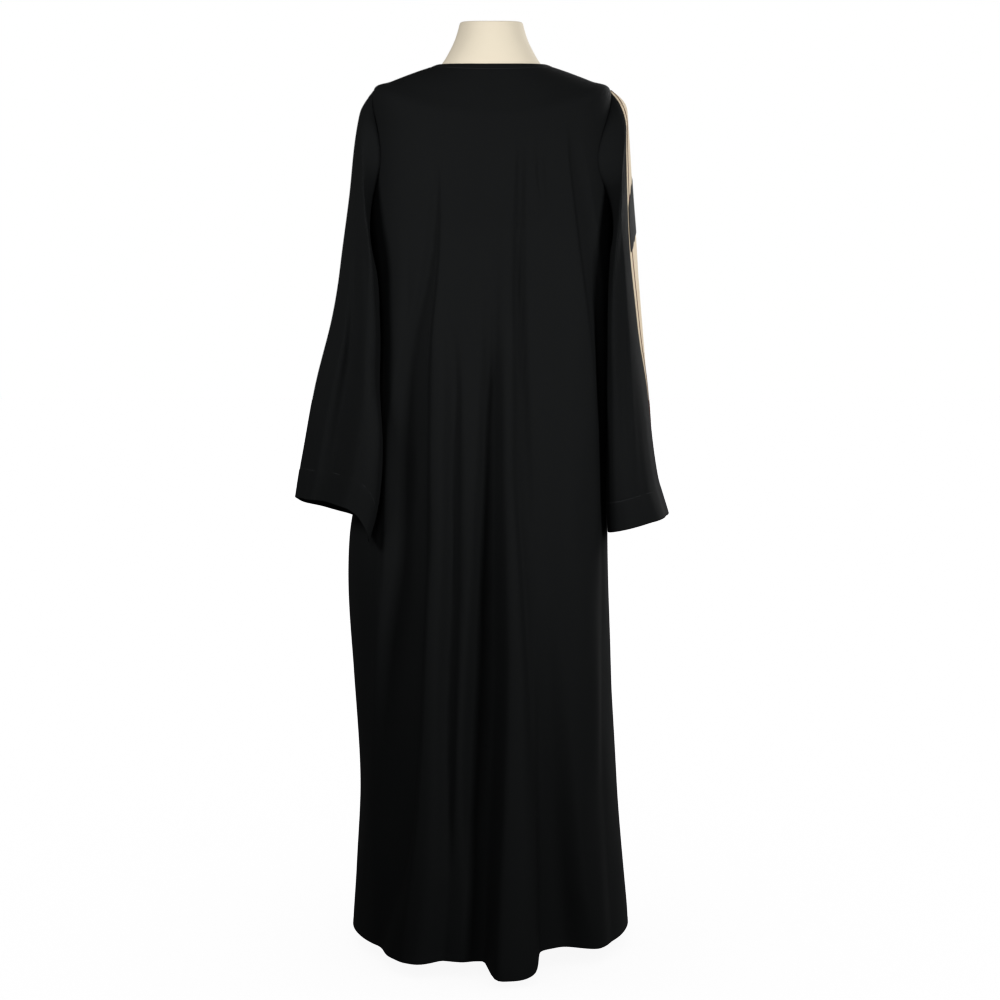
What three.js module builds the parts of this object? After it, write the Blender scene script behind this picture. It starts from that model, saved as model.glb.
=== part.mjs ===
// A long black abaya on a limbless dress form that stands on a round base.
//
// Millimetres, +Z up. The wearer faces +Y, so the garment's back is at -Y and the wearer's right hand is at
// +X. The origin is on the floor, at the centre of the base's underside. The cloth and the form are worked
// out about the shoulder plane, an upright plane through both shoulder seams, which stands a little behind
// the pole.
//
// The garment is cut and sewn as a back panel, a front panel, and a back and a front piece for each sleeve.
// The right sleeve's front piece is pale, with a black scalloped band across it. Each cloth piece is a wall
// between its outer face and the same points moved in along the cloth's own normals.
import * as THREE from "three";

// Turns rows of values into records with named columns.
const table = (columns, rows) =>
  rows.map((row) => Object.fromEntries(columns.map((column, i) => [column, row[i]])));

// Driving sizes.
const CLOTH_THICKNESS = 1.6;
const SEAM_GAP = 0.3;
const POLE_TO_SHOULDER_PLANE = 40;
const HEM_Z = 25;
const ARMPIT_Z = 1140;
const SHOULDER_TIP_Z = 1360;
const NECK_POINT_Z = 1397;

// Lengths measured along the side seam, the armhole and the shoulder seam, from the hem up to the neck
// point.
const TO_ARMPIT = 1115;
const TO_SHOULDER_TIP = 1335;
const TO_NECK = 1447;

// How far round the body each armhole bites into the panels at its middle, in degrees.
const ARMHOLE_BITE = { left: 26, right: 32 };

// Grid counts. The armhole rows of the panels are also the points of each sleeve's first ring.
const SKIRT_ROWS = 13;
const ARMHOLE_ROWS = 8;
const SHOULDER_ROWS = 3;
const BACK_COLUMNS = 36;
const FRONT_COLUMNS = 22;
const SLEEVE_ROWS = 15;
const BAND_ROWS = 2;
const BAND_STEPS = 3; // columns in each scallop

// The body's sections up the tape. Each has the height z of its side points and how far they stand to the
// wearer's left and right, then the height and reach of its middle at the back and at the front. power
// shapes the section: 2 is an ellipse, more is squarer.
const BODY_SECTIONS = table(["tape", "z", "left", "right", "backZ", "back", "frontZ", "front", "power"], [
  [0, HEM_Z, 225, 221, 25, 220, 30, 198, 2],
  [95, 120, 219, 213, 120, 210, 120, 191, 2.1],
  [230, 255, 212, 202, 255, 198, 255, 184, 2.2],
  [415, 440, 220, 192, 440, 181, 440, 175, 2.3],
  [630, 655, 227, 185, 655, 160, 655, 165, 2.5],
  [785, 810, 195, 186, 810, 146, 810, 157, 2.55],
  [885, 910, 184, 184, 910, 137, 910, 150, 2.65],
  [1005, 1030, 180, 182, 1030, 126, 1030, 142, 2.75],
  [TO_ARMPIT, ARMPIT_Z, 180, 182, 1140, 116, 1140, 136, 2.75],
  [1205, 1230, 180, 183, 1210, 112, 1186, 136, 2.65],
  [1270, 1295, 184, 186, 1262, 107, 1221, 131, 2.5],
  [TO_SHOULDER_TIP, SHOULDER_TIP_Z, 184, 186, 1310, 98, 1252, 123, 2.25],
  [1371, 1372.5, 156, 157, 1331, 90, 1265, 118, 2.05],
  [1411, 1386.5, 119, 120, 1362, 77, 1284, 110, 2],
  [TO_NECK, NECK_POINT_Z, 86, 88, 1393, 63, 1302, 102, 2],
]);

// Folds of the body. Each runs down a panel from (topX, topZ) to (endX, endZ). out is how far the cloth
// stands proud at half its length and outEnd at its end, both negative for a valley. left and right are its
// reach to each side at the end, and narrow is the share of that reach at its top. drop lowers the hem
// under it.
const BODY_FOLDS = table([
  "side", "topX", "topZ", "endX", "endZ", "out", "outEnd", "left", "right", "narrow", "drop"
], [
  ["back", -86, 1200, -146, 200, -10, -4, 30, 30, 0.5, 0],
  ["back", -68, 1180, -120, 25, 9, 30, 54, 46, 0.45, 2],
  ["back", -52, 980, -34, 560, -8, 0, 18, 18, 0.6, 0],
  ["back", 2, 1120, -12, 25, -22, -9, 34, 18, 0.5, 0],
  ["back", 20, 860, 22, 25, 14, 48, 34, 62, 0.42, 13],
  ["back", 45, 1280, 42, 820, -7, 0, 16, 16, 0.8, 0],
  ["back", 78, 520, 104, 25, -14, -34, 34, 58, 0.6, -5],
  ["back", -176, 760, -176, 330, 5, 0, 18, 18, 0.8, 0],
  ["front", -96, 1130, -128, 25, -12, -16, 34, 34, 0.5, 0],
  ["front", -62, 1100, -74, 25, 8, 16, 32, 32, 0.5, 4],
  ["front", -6, 1060, -18, 25, -14, -22, 36, 34, 0.5, 0],
  ["front", 54, 1110, 46, 25, 9, 18, 36, 38, 0.5, 5],
  ["front", 98, 1120, 122, 25, -11, -20, 36, 40, 0.5, 0],
]);
const DROP_FADE_Z = 260; // a fold's drop of the hem has died out at this height
const FOLD_ROUNDNESS = 1.7; // 1 is a plain wave, more has a broader top
const FOLD_OVERRUN = 1.35; // where a fold stops altogether, as a share of its length
const SIDE_SEAM_CALM = 0.3; // no fold crosses the side seam: they fade out where |sin(angle)| is below this

// Rings of each sleeve, at from 0 at the armhole to 1 at the cuff. outX, outZ is the edge over the arm and
// inX, inZ the edge by the body. behind is how far the ring's centre lies behind the shoulder plane, and
// lean how much further its inner edge does. back and front are its half depths, and rise lifts its back
// and lowers its front.
const LEFT_RINGS = table([
  "at", "outX", "outZ", "inX", "inZ", "behind",
  "lean", "back", "front", "rise", "arch",
], [
  [0, 186, 1360, 187, 1140, 0, 0, 62, 60, 0, 0],
  [0.06, 199, 1344, 189, 1120, 5, 19, 66, 54, 0, 0],
  [0.12, 208, 1326, 183, 1100, 13, 38, 72, 44, 0, 0],
  [0.2, 217, 1280, 177, 1072, 20, 50, 76, 34, 0, 0],
  [0.32, 225, 1197, 173, 1030, 28, 50, 70, 34, 0, 0],
  [0.45, 236, 1115, 171, 976, 38, 50, 66, 40, 0, 0],
  [0.62, 252, 1004, 172, 898, 54, 46, 62, 44, 2, 0],
  [0.78, 280, 890, 166, 812, 72, 52, 56, 40, 6, 4],
  [0.92, 301, 775, 172, 722, 86, 52, 52, 38, 8, 17],
  [1, 309, 721, 187, 662, 90, 50, 48, 38, 8, 31],
]);
const RIGHT_RINGS = table([
  "at", "outX", "outZ", "inX", "inZ", "behind",
  "lean", "back", "front", "rise", "arch",
], [
  [0, 188, 1360, 190, 1140, 0, 0, 62, 60, 0, 0],
  [0.06, 211, 1345, 191, 1122, 5, 16, 66, 56, 0, 0],
  [0.12, 215, 1328, 185, 1106, 12, 34, 70, 46, 0, 0],
  [0.2, 219, 1280, 183, 1074, 18, 46, 76, 36, 0, 0],
  [0.32, 224, 1197, 181, 1030, 22, 48, 74, 38, 0, 0],
  [0.45, 231, 1115, 180, 976, 24, 48, 74, 44, 0, 0],
  [0.62, 239, 1004, 180, 898, 24, 42, 73, 48, 0, 0],
  [0.78, 249, 890, 181, 812, 25, 38, 70, 50, 0, 0],
  [0.92, 265, 758, 181, 722, 28, 35, 66, 50, 0, 0],
  [1, 283, 692, 183, 669, 28, 33, 64, 50, 0, 1],
]);

// A sleeve has left the armhole's shape for that of its rings at this share of its length, and its normals
// are taken no nearer to its ends than these.
const ARMHOLE_BLEND = 0.12;
const SLEEVE_INSIDE = { from: 0.025, to: 0.99 };

// Folds along the sleeves, by the angle round the ring: 0 is the outer edge and 90 the back.
const LEFT_SLEEVE_FOLDS = table(["from", "to", "start", "end", "reach", "out"], [
  [74, 92, 0.3, 1.15, 28, -10],
  [128, 140, 0.1, 0.9, 26, 5],
  [262, 270, 0.35, 1.15, 34, -6],
]);
const RIGHT_SLEEVE_FOLDS = table(["from", "to", "start", "end", "reach", "out"], [
  [112, 104, 0.2, 0.85, 24, -6],
  [150, 146, 0.15, 0.95, 24, 4],
  [262, 268, 0.35, 1.15, 34, -7],
]);

// Where a sleeve's front piece meets its back piece over the arm, by the angle round the ring. On the left
// the seam turns to the front, and on the right to the back, so that the pale piece shows there.
const LEFT_SEAM = table(["at", "angle"], [
  [0, 0],
  [0.1, -8],
  [0.3, -20],
  [1, -20],
]);
const RIGHT_SEAM = table(["at", "angle"], [
  [0, 0],
  [0.05, 12],
  [0.1, 38],
  [0.16, 56],
  [0.3, 62],
  [0.42, 62],
  [0.55, 52],
  [0.68, 38],
  [0.78, 10],
  [0.88, -14],
  [1, -22],
]);

// How many degrees the seam under the arm turns to the front, and where along the sleeve it has done.
const UNDER_SEAM = { turn: 22, until: 0.3 };

// The scalloped band across the pale piece: where it starts and ends along the sleeve, how much nearer the
// armhole it lies at its far end, how many degrees it stays in from the seams, and its wavy edge.
const BAND = {
  start: 0.288,
  end: 0.405,
  slant: 0.014,
  inset: 2,
  lift: 0.3,
  thickness: 1,
  scallops: 13,
  depth: 0.006,
};

// The dress form, in the same kind of section as the body but symmetric from side to side.
const FORM_SECTIONS = table(["z", "side", "backZ", "back", "frontZ", "front"], [
  [769, 96, 769, 62, 769, 60],
  [773, 124, 773, 82, 773, 78],
  [788, 142, 788, 96, 788, 88],
  [850, 152, 850, 106, 850, 95],
  [930, 143, 930, 99, 930, 94],
  [1015, 120, 1015, 82, 1015, 88],
  [1085, 123, 1085, 82, 1085, 96],
  [1150, 136, 1150, 90, 1150, 112],
  [1215, 148, 1205, 95, 1185, 116],
  [1270, 157, 1250, 95, 1218, 110],
  [1318, 164, 1285, 92, 1245, 102],
  [1350, 168, 1312, 87, 1270, 96],
  [1363, 164, 1331, 82, 1288, 91],
  [1372.6, 150, 1347, 76, 1305, 86],
  [1384.4, 116, 1367, 68, 1331, 79],
  [1394, 84, 1388, 58.5, 1358, 72],
  [1403, 75, 1400, 56, 1382, 66],
  [1416, 67, 1416, 54, 1408, 60],
  [1434, 58, 1433, 51, 1430, 55],
  [1450, 52.5, 1448, 48, 1450, 51],
  [1461, 49.5, 1458, 46, 1462, 49],
  [1463, 47.5, 1460, 44, 1464, 47],
]);
const FORM_COLUMNS = 28;

const BASE = { radius: 130, height: 13, edge: 5, bossRadius: 30, bossHeight: 26 };
const POLE = { radius: 15, bottom: 26.3, top: 768.7 };
const ROUND_SEGMENTS = 32;

const RAD = Math.PI / 180;
const lerp = (a, b, t) => a + (b - a) * t;
const clamp01 = (t) => Math.min(1, Math.max(0, t));
const smooth = (t) => clamp01(t) ** 2 * (3 - 2 * clamp01(t));
// A fold's section: 1 along its middle, rounded over the top, and 0 from its edge on.
const bump = (t) => 0.5 + 0.5 * Math.cos(Math.PI * Math.min(1, Math.abs(t)) ** FOLD_ROUNDNESS);

// A column of a table at a value between its rows, on a cubic through the rows.
function read(table, by, column, at) {
  const last = table.length - 1;
  let i = 0;
  while (i < last - 1 && at > table[i + 1][by]) i += 1;
  const slope = (j) => {
    const [a, b] = [table[Math.max(j - 1, 0)], table[Math.min(j + 1, last)]];
    return (b[column] - a[column]) / (b[by] - a[by]);
  };
  const [p, q] = [table[i], table[i + 1]];
  const span = q[by] - p[by];
  const t = clamp01((at - p[by]) / span);
  const rise = (q[column] - p[column]) * t * t * (3 - 2 * t);
  return p[column] + rise + span * t * (1 - t) * ((1 - t) * slope(i) - t * slope(i + 1));
}

// A point of a section at an angle from the wearer's right (0) over the back (90) to the left (180) and the
// front.
function sectionPoint(section, angle) {
  const [c, s] = [Math.cos(angle * RAD), Math.sin(angle * RAD)];
  const [back, power] = [s > 0, 2 / (section.power ?? 2)];
  const side = c > 0 ? section.right : section.left;
  return new THREE.Vector3(
    side * Math.sign(c) * Math.abs(c) ** power,
    (back ? -section.back : section.front) * Math.abs(s) ** power,
    lerp(section.z, back ? section.backZ : section.frontZ, s * s),
  );
}

// What the folds of one side of the body add at a place: how far the cloth stands out, or how far its hem
// drops.
function foldSum(side, x, z, hemDrop) {
  let sum = 0;
  for (const fold of BODY_FOLDS) {
    if (fold.side !== side || z > fold.topZ) continue;
    const t = (fold.topZ - z) / (fold.topZ - fold.endZ);
    if (t > FOLD_OVERRUN) continue;
    const offset = x - lerp(fold.topX, fold.endX, t);
    const reach = (offset > 0 ? fold.right : fold.left) * lerp(fold.narrow, 1, smooth(t));
    if (Math.abs(offset) >= reach) continue;
    const out = t < 0.5 ? fold.out * smooth(2 * t) : lerp(fold.out, fold.outEnd, smooth(2 * t - 1));
    sum += (hemDrop ? fold.drop : out) * bump(offset / reach);
  }
  return sum;
}

// A point of the whole body's outer face, at a length up the tape and an angle round the section.
function bodySurface(tape, angle) {
  const columns = Object.keys(BODY_SECTIONS[0]);
  const values = columns.map((column) => read(BODY_SECTIONS, "tape", column, tape));
  const [section] = table(columns, [values]);
  const p = sectionPoint(section, angle);
  const side = p.y < 0 ? "back" : "front";
  const depth = side === "back" ? section.back : section.front;
  const out = new THREE.Vector2(p.x / (p.x > 0 ? section.right : section.left), p.y / depth).normalize();
  const offSeam = smooth(Math.abs(Math.sin(angle * RAD)) / SIDE_SEAM_CALM);
  p.z -= foldSum(side, p.x, HEM_Z, true) * offSeam * smooth((DROP_FADE_Z - p.z) / DROP_FADE_Z);
  const push = foldSum(side, p.x, p.z, false) * offSeam;
  p.x += out.x * push;
  p.y += out.y * push;
  return p;
}

// The outward normal of a surface at (u, v), from points a small step away.
function surfaceNormal(surface, u, v, stepU, stepV) {
  const alongU = surface(u + stepU, v).sub(surface(u - stepU, v));
  const alongV = surface(u, v + stepV).sub(surface(u, v - stepV));
  return alongV.cross(alongU).normalize();
}
const bodyNormal = (tape, angle) =>
  surfaceNormal(bodySurface, Math.min(Math.max(tape, 3), TO_NECK - 3), angle, 3, 1).negate();

// The angle of a panel's edge from the side seam: zero but for the armhole's bite.
function armholeBite(tape, hand) {
  const k = (tape - TO_ARMPIT) / (TO_SHOULDER_TIP - TO_ARMPIT);
  return k <= 0 || k >= 1 ? 0 : ARMHOLE_BITE[hand] * Math.sin(Math.PI * k) ** 1.2;
}

// The rows of a panel up the tape.
const PANEL_TAPES = [];
for (const [rows, from, to] of [
  [SKIRT_ROWS, 0, TO_ARMPIT],
  [ARMHOLE_ROWS, TO_ARMPIT, TO_SHOULDER_TIP],
  [SHOULDER_ROWS, TO_SHOULDER_TIP, TO_NECK],
]) {
  for (let i = 0; i < rows; i += 1) PANEL_TAPES.push(lerp(from, to, i / rows));
}
PANEL_TAPES.push(TO_NECK);

// Each grid below is rows of { point, normal }.
function panelGrid(side, columns) {
  const turn = side === "back" ? 1 : -1;
  return PANEL_TAPES.map((tape) => {
    const [right, left] = [armholeBite(tape, "right"), 180 - armholeBite(tape, "left")];
    return Array.from({ length: columns + 1 }, (_, j) => {
      const angle = turn * lerp(right, left, j / columns);
      const onArmhole = tape >= TO_ARMPIT && tape <= TO_SHOULDER_TIP && (j === 0 || j === columns);
      const round = 180 * (1 - (tape - TO_ARMPIT) / (TO_SHOULDER_TIP - TO_ARMPIT));
      const hand = j ? "left" : "right";
      const normal = onArmhole ? armholeNormal(hand, turn * round) : bodyNormal(tape, angle);
      return { point: bodySurface(tape, angle), normal };
    });
  });
}

// A sleeve's free surface. hand is "left" or "right", and angle runs from the outer edge over the back to
// the underarm and the front.
const SLEEVES = {
  left: { rings: LEFT_RINGS, folds: LEFT_SLEEVE_FOLDS, seam: LEFT_SEAM, sign: -1 },
  right: { rings: RIGHT_RINGS, folds: RIGHT_SLEEVE_FOLDS, seam: RIGHT_SEAM, sign: 1 },
};
// An arched ring is lifted along both of its layers, most of all near the body, and not at its edges.
const archShare = (c) => ((1 - c ** 4) * (1 - c)) / 1.5;

function sleeveSurface(hand, at, angle) {
  const { rings, folds, sign } = SLEEVES[hand];
  const ring = (column) => read(rings, "at", column, at);
  const [c, s] = [Math.cos(angle * RAD), Math.sin(angle * RAD)];
  const depth = s > 0 ? ring("back") : ring("front");
  const halfX = (ring("outX") - ring("inX")) / 2;
  const halfZ = (ring("outZ") - ring("inZ")) / 2;
  let push = 0;
  for (const fold of folds) {
    const t = (at - fold.start) / (fold.end - fold.start);
    const round = ((angle % 360) + 360) % 360;
    const offset = round - lerp(fold.from, fold.to, t);
    if (t < 0 || t > 1 || Math.abs(offset) > fold.reach) continue;
    push += fold.out * smooth(3 * t) * bump(offset / fold.reach);
  }
  const swell = 1 + push / Math.hypot(halfX * c, depth * s);
  const free = new THREE.Vector3(
    sign * ((ring("outX") + ring("inX")) / 2 + halfX * c * swell),
    -(ring("behind") - ring("lean") * c + depth * s * swell),
    (ring("outZ") + ring("inZ")) / 2 + halfZ * c + ring("rise") * s + ring("arch") * archShare(c),
  );
  const sewn = 1 - smooth(at / ARMHOLE_BLEND);
  if (sewn === 0) return free;
  const { tape, bodyAngle } = armholePlace(hand, angle);
  return free.lerp(bodySurface(tape, bodyAngle), sewn);
}

// The armhole's loop at a sleeve's angle.
function armholePlace(hand, angle) {
  const round = ((angle % 360) + 360) % 360;
  const tape = lerp(TO_ARMPIT, TO_SHOULDER_TIP, Math.abs(180 - round) / 180);
  const bite = armholeBite(tape, hand) * (round <= 180 ? 1 : -1);
  return { tape, bodyAngle: hand === "right" ? bite : 180 - bite };
}

// The outward normal of a sleeve a little way in from its ends.
function sleeveNormal(hand, at, angle) {
  const inside = Math.min(Math.max(at, SLEEVE_INSIDE.from), SLEEVE_INSIDE.to);
  const normal = surfaceNormal((u, v) => sleeveSurface(hand, u, v), inside, angle, 0.01, 2);
  return normal.multiplyScalar(SLEEVES[hand].sign);
}

// Along the armhole the walls of the body and the sleeve meet on a mitre between their normals. At the
// armpit, where they lie back to back, the walls thicken upwards.
function armholeNormal(hand, angle) {
  const { tape, bodyAngle } = armholePlace(hand, angle);
  const k = (tape - TO_ARMPIT) / (TO_SHOULDER_TIP - TO_ARMPIT);
  const up = new THREE.Vector3(0, 0, -((1 - k) ** 5));
  return bodyNormal(tape, bodyAngle).add(sleeveNormal(hand, 0, angle)).add(up).normalize();
}

const sleevePoint = (hand, at, angle) => ({
  point: sleeveSurface(hand, at, angle),
  normal: at === 0 ? armholeNormal(hand, angle) : sleeveNormal(hand, at, angle),
});

// The rows of a sleeve lie a little closer together towards the armhole.
function sleeveGrid(hand, fromAngle, toAngle) {
  return Array.from({ length: SLEEVE_ROWS + 1 }, (_, i) => {
    const at = (i / SLEEVE_ROWS) ** 1.1;
    return Array.from({ length: ARMHOLE_ROWS + 1 }, (_, j) =>
      sleevePoint(hand, at, lerp(fromAngle(at), toAngle(at), j / ARMHOLE_ROWS)),
    );
  });
}

// Moves the edge rows or columns of a grid in from a seam.
function pullIn(rows, { first = 0, last = 0, sides = 0 }) {
  const [n, m] = [rows.length - 1, rows[0].length - 1];
  const moves = [];
  const plan = (edge, inner, distance) => {
    const move = inner.point.clone().sub(edge.point).setLength(distance);
    moves.push([edge.point, move]);
  };
  for (let j = 0; j <= m; j += 1) {
    if (first) plan(rows[0][j], rows[1][j], first);
    if (last) plan(rows[n][j], rows[n - 1][j], last);
  }
  for (let i = 0; sides && i <= n; i += 1) {
    plan(rows[i][0], rows[i][1], sides);
    plan(rows[i][m], rows[i][m - 1], sides);
  }
  for (const [point, move] of moves) point.add(move);
  return rows;
}

function geometryOf(positions, index) {
  return new THREE.BufferGeometry()
    .setAttribute("position", new THREE.Float32BufferAttribute(positions, 3))
    .setIndex(index);
}

// A closed wall on a grid, between two depths along its normals. turned says that the grid's columns run the
// other way round the outside.
function wall(rows, { turned = false, near = 0, far = CLOTH_THICKNESS } = {}) {
  const [n, m] = [rows.length - 1, rows[0].length - 1];
  const positions = [];
  for (const depth of [near, far])
    for (const row of rows)
      for (const { point, normal } of row) {
        positions.push(...point.clone().addScaledVector(normal, -depth).toArray());
      }
  const at = (layer, i, j) => (layer * (n + 1) + i) * (m + 1) + j;
  const index = [];
  const quad = (a, b, c, d) => (turned ? index.push(a, c, b, a, d, c) : index.push(a, b, c, a, c, d));
  for (let i = 0; i < n; i += 1)
    for (let j = 0; j < m; j += 1) {
      quad(at(0, i, j), at(0, i, j + 1), at(0, i + 1, j + 1), at(0, i + 1, j));
      quad(at(1, i, j), at(1, i + 1, j), at(1, i + 1, j + 1), at(1, i, j + 1));
    }
  for (let j = 0; j < m; j += 1) {
    quad(at(0, 0, j), at(1, 0, j), at(1, 0, j + 1), at(0, 0, j + 1));
    quad(at(0, n, j), at(0, n, j + 1), at(1, n, j + 1), at(1, n, j));
  }
  for (let i = 0; i < n; i += 1) {
    quad(at(0, i, 0), at(0, i + 1, 0), at(1, i + 1, 0), at(1, i, 0));
    quad(at(0, i, m), at(1, i, m), at(1, i + 1, m), at(0, i + 1, m));
  }
  return geometryOf(positions, index);
}

// The dress form: one loft of sections from its flat underside to the top of its neck.
function dressForm() {
  const positions = [];
  const index = [];
  for (const section of FORM_SECTIONS)
    for (let j = 0; j < FORM_COLUMNS; j += 1) {
      const ring = { ...section, left: section.side, right: section.side };
      positions.push(...sectionPoint(ring, (-360 * j) / FORM_COLUMNS).toArray());
    }
  const last = FORM_SECTIONS.length - 1;
  for (let i = 0; i < last; i += 1)
    for (let j = 0; j < FORM_COLUMNS; j += 1) {
      const [a, b] = [i * FORM_COLUMNS + j, i * FORM_COLUMNS + ((j + 1) % FORM_COLUMNS)];
      index.push(a, b, b + FORM_COLUMNS, a, b + FORM_COLUMNS, a + FORM_COLUMNS);
    }
  for (const [ring, turned] of [[0, true], [last, false]]) {
    const { z, backZ, frontZ } = FORM_SECTIONS[ring];
    const hub = positions.length / 3;
    positions.push(0, 0, (2 * z + backZ + frontZ) / 4);
    for (let j = 0; j < FORM_COLUMNS; j += 1) {
      const [a, b] = [ring * FORM_COLUMNS + j, ring * FORM_COLUMNS + ((j + 1) % FORM_COLUMNS)];
      index.push(hub, turned ? b : a, turned ? a : b);
    }
  }
  return geometryOf(positions, index);
}

const finish = (color, roughness, metalness) =>
  new THREE.MeshStandardMaterial({ color, roughness, metalness });
const blackCrepe = finish(0x17191b, 0.85, 0);
const paleCrepe = finish(0xd2c0a0, 0.85, 0);
const formCover = finish(0xd8ccb7, 0.9, 0);
const paintedMetal = finish(0x2a2a2c, 0.4, 0.6);

function named(name, geometry, material) {
  const mesh = new THREE.Mesh(geometry, material);
  mesh.name = name;
  return mesh;
}

function panel(side, columns) {
  const rows = pullIn(panelGrid(side, columns), { sides: SEAM_GAP / 2 });
  return wall(rows, { turned: side === "back" });
}

const overSeam = (hand, at) => read(SLEEVES[hand].seam, "at", "angle", at);

// The seam under the arm starts at the armpit and turns a little to the front, where the body hides it.
const underSeam = (at) => 180 + UNDER_SEAM.turn * smooth(at / UNDER_SEAM.until);

function sleevePiece(hand, side) {
  const [fromAngle, toAngle] = {
    back: [(at) => overSeam(hand, at), underSeam],
    front: [underSeam, (at) => 360 + overSeam(hand, at)],
  }[side];
  const rows = pullIn(sleeveGrid(hand, fromAngle, toAngle), { first: SEAM_GAP, sides: SEAM_GAP / 2 });
  return wall(rows, { turned: hand === "left" });
}

// The band lies on the pale piece: its points are the piece's own, moved out.
function sleeveBand() {
  const columns = BAND_STEPS * BAND.scallops;
  const rows = Array.from({ length: BAND_ROWS + 1 }, (_, i) =>
    Array.from({ length: columns + 1 }, (_, j) => {
      const across = j / columns;
      const wave = BAND.depth * Math.sin((Math.PI * (j % BAND_STEPS)) / BAND_STEPS);
      const at = lerp(BAND.start - wave, BAND.end + wave, i / BAND_ROWS) - BAND.slant * across;
      const angle = lerp(overSeam("right", at) - BAND.inset, underSeam(at) - 360 + BAND.inset, across);
      return sleevePoint("right", at, angle);
    }),
  );
  return wall(rows, { turned: true, near: -(BAND.lift + BAND.thickness), far: -BAND.lift });
}

const garment = new THREE.Group();
garment.position.y = -POLE_TO_SHOULDER_PLANE;
garment.add(
  named("back_panel", panel("back", BACK_COLUMNS), blackCrepe),
  named("front_panel", panel("front", FRONT_COLUMNS), blackCrepe),
  named("sleeve_left_back", sleevePiece("left", "back"), blackCrepe),
  named("sleeve_left_front", sleevePiece("left", "front"), blackCrepe),
  named("sleeve_right_back", sleevePiece("right", "back"), blackCrepe),
  named("sleeve_right_front", sleevePiece("right", "front"), paleCrepe),
  named("sleeve_right_band", sleeveBand(), blackCrepe),
  named("dress_form", dressForm(), formCover),
);

// The base's profile, from the axis at the floor out round the rim and up the boss.
const baseProfile = [
  [0, 0],
  [BASE.radius - BASE.edge / 2, 0],
  [BASE.radius, BASE.edge / 2],
  [BASE.radius, BASE.height - BASE.edge],
  [BASE.radius - BASE.edge, BASE.height - 1],
  [BASE.bossRadius + BASE.edge, BASE.height],
  [BASE.bossRadius, BASE.height + BASE.edge],
  [BASE.bossRadius - 3, BASE.bossHeight],
  [0, BASE.bossHeight],
].map(([radius, z]) => new THREE.Vector2(radius, z));
const base = named("stand_base", new THREE.LatheGeometry(baseProfile, ROUND_SEGMENTS), paintedMetal);
base.rotation.x = Math.PI / 2;
const poleLength = POLE.top - POLE.bottom;
const tube = new THREE.CylinderGeometry(POLE.radius, POLE.radius, poleLength, ROUND_SEGMENTS / 2);
const pole = named("stand_pole", tube, paintedMetal);
pole.rotation.x = Math.PI / 2;
pole.position.z = POLE.bottom + poleLength / 2;

const abaya = new THREE.Group();
abaya.add(garment, base, pole);
export default abaya;
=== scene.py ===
"""The finish of a black abaya on a dress form: its cloth, seams, stitches, form, stand, light and view.

Shapes are worked out in millimetres about the shoulder plane, an upright plane through both shoulder
seams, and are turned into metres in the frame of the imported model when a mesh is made.
"""
import logging
import math
from dataclasses import dataclass
from enum import Enum
from functools import partial
from typing import Callable, NamedTuple, Sequence

import bpy
import numpy as np
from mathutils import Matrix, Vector


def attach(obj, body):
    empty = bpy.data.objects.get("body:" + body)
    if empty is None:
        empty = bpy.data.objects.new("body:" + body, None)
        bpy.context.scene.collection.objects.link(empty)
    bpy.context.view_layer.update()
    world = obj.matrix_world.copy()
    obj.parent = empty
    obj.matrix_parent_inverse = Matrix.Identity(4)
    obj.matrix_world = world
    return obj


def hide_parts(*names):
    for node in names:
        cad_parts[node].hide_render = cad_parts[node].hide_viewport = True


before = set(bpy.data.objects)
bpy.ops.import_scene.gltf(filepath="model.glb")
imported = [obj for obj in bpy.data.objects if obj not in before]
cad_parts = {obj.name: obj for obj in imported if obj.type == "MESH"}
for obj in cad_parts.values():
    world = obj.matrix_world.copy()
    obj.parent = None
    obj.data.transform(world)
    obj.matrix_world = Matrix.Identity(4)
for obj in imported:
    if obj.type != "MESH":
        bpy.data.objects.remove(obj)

Array = np.ndarray
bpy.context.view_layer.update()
BODY = "root"
log = logging.getLogger("abaya")

MM = 0.001
SHOULDER_PLANE_Y = -40.0  # the shoulder plane's place in the model's frame
CLOTH_THICKNESS = 1.5
SEAM_GAP = 0.16
HEM_Z = 25.0

# Lengths up the side seam, the armhole and the shoulder seam, from the hem.
TO_ARMPIT = 1115.0
TO_SHOULDER_TIP = 1335.0
TO_NECK = 1447.0
ARMHOLE_BITE = {"left": 26.0, "right": 32.0}
DROP_FADE_Z = 260.0

# How far the seam under the arm turns to the front, and how far down the sleeve it does so.
UNDER_SEAM_TURN = 22.0
UNDER_SEAM_TURNED = 0.3

# Where the slight unevenness of the cloth dies out: at the shoulders, the hem and a sleeve's top.
CALM_ABOVE_Z = 1180.0
CALM_FADE = 260.0
HEM_CALM = 60.0
SLEEVE_CALM = 0.3

FOLD_ROUNDNESS = 1.7
BITE_ROUNDNESS = 1.2
SIDE_SEAM_CALM = 0.3  # the share of the way round from a side seam in which folds die out
ARMHOLE_BLEND = 0.12  # the share of a sleeve in which it leaves the shape of the armhole
MITRE_BLEND = 0.02  # the same for the direction of its wall
SLEEVE_LENGTH = 700.0

# A hem's folded edge, the ramp up to its raised cloth and the width of its stitched groove.
EDGE_ROUND = 1.1
EDGE_SHARE = 0.12
HEM_RAMP = 4.0
GROOVE_REACH = 1.3
EDGE_STEPS = (0.15, 0.4, 0.8, 1.2, 2.0)
GROOVE_STEPS = (-3, -1.4, -0.7, 0, 0.7, 1.4, 3)


@dataclass(frozen=True)
class Hem:
    """A turned edge: its depth, how far it stands out, and how deep its stitches draw the cloth in."""

    depth: float
    raised: float = 0.45
    drawn: float = 0.55


RAW_EDGE = Hem(0.0, 0.0, 0.0)
NECK_HEM = Hem(9.0)
CUFF_HEM = Hem(46.0)
BOTTOM_HEM = Hem(9.0, 0.2, 0.0)


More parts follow.
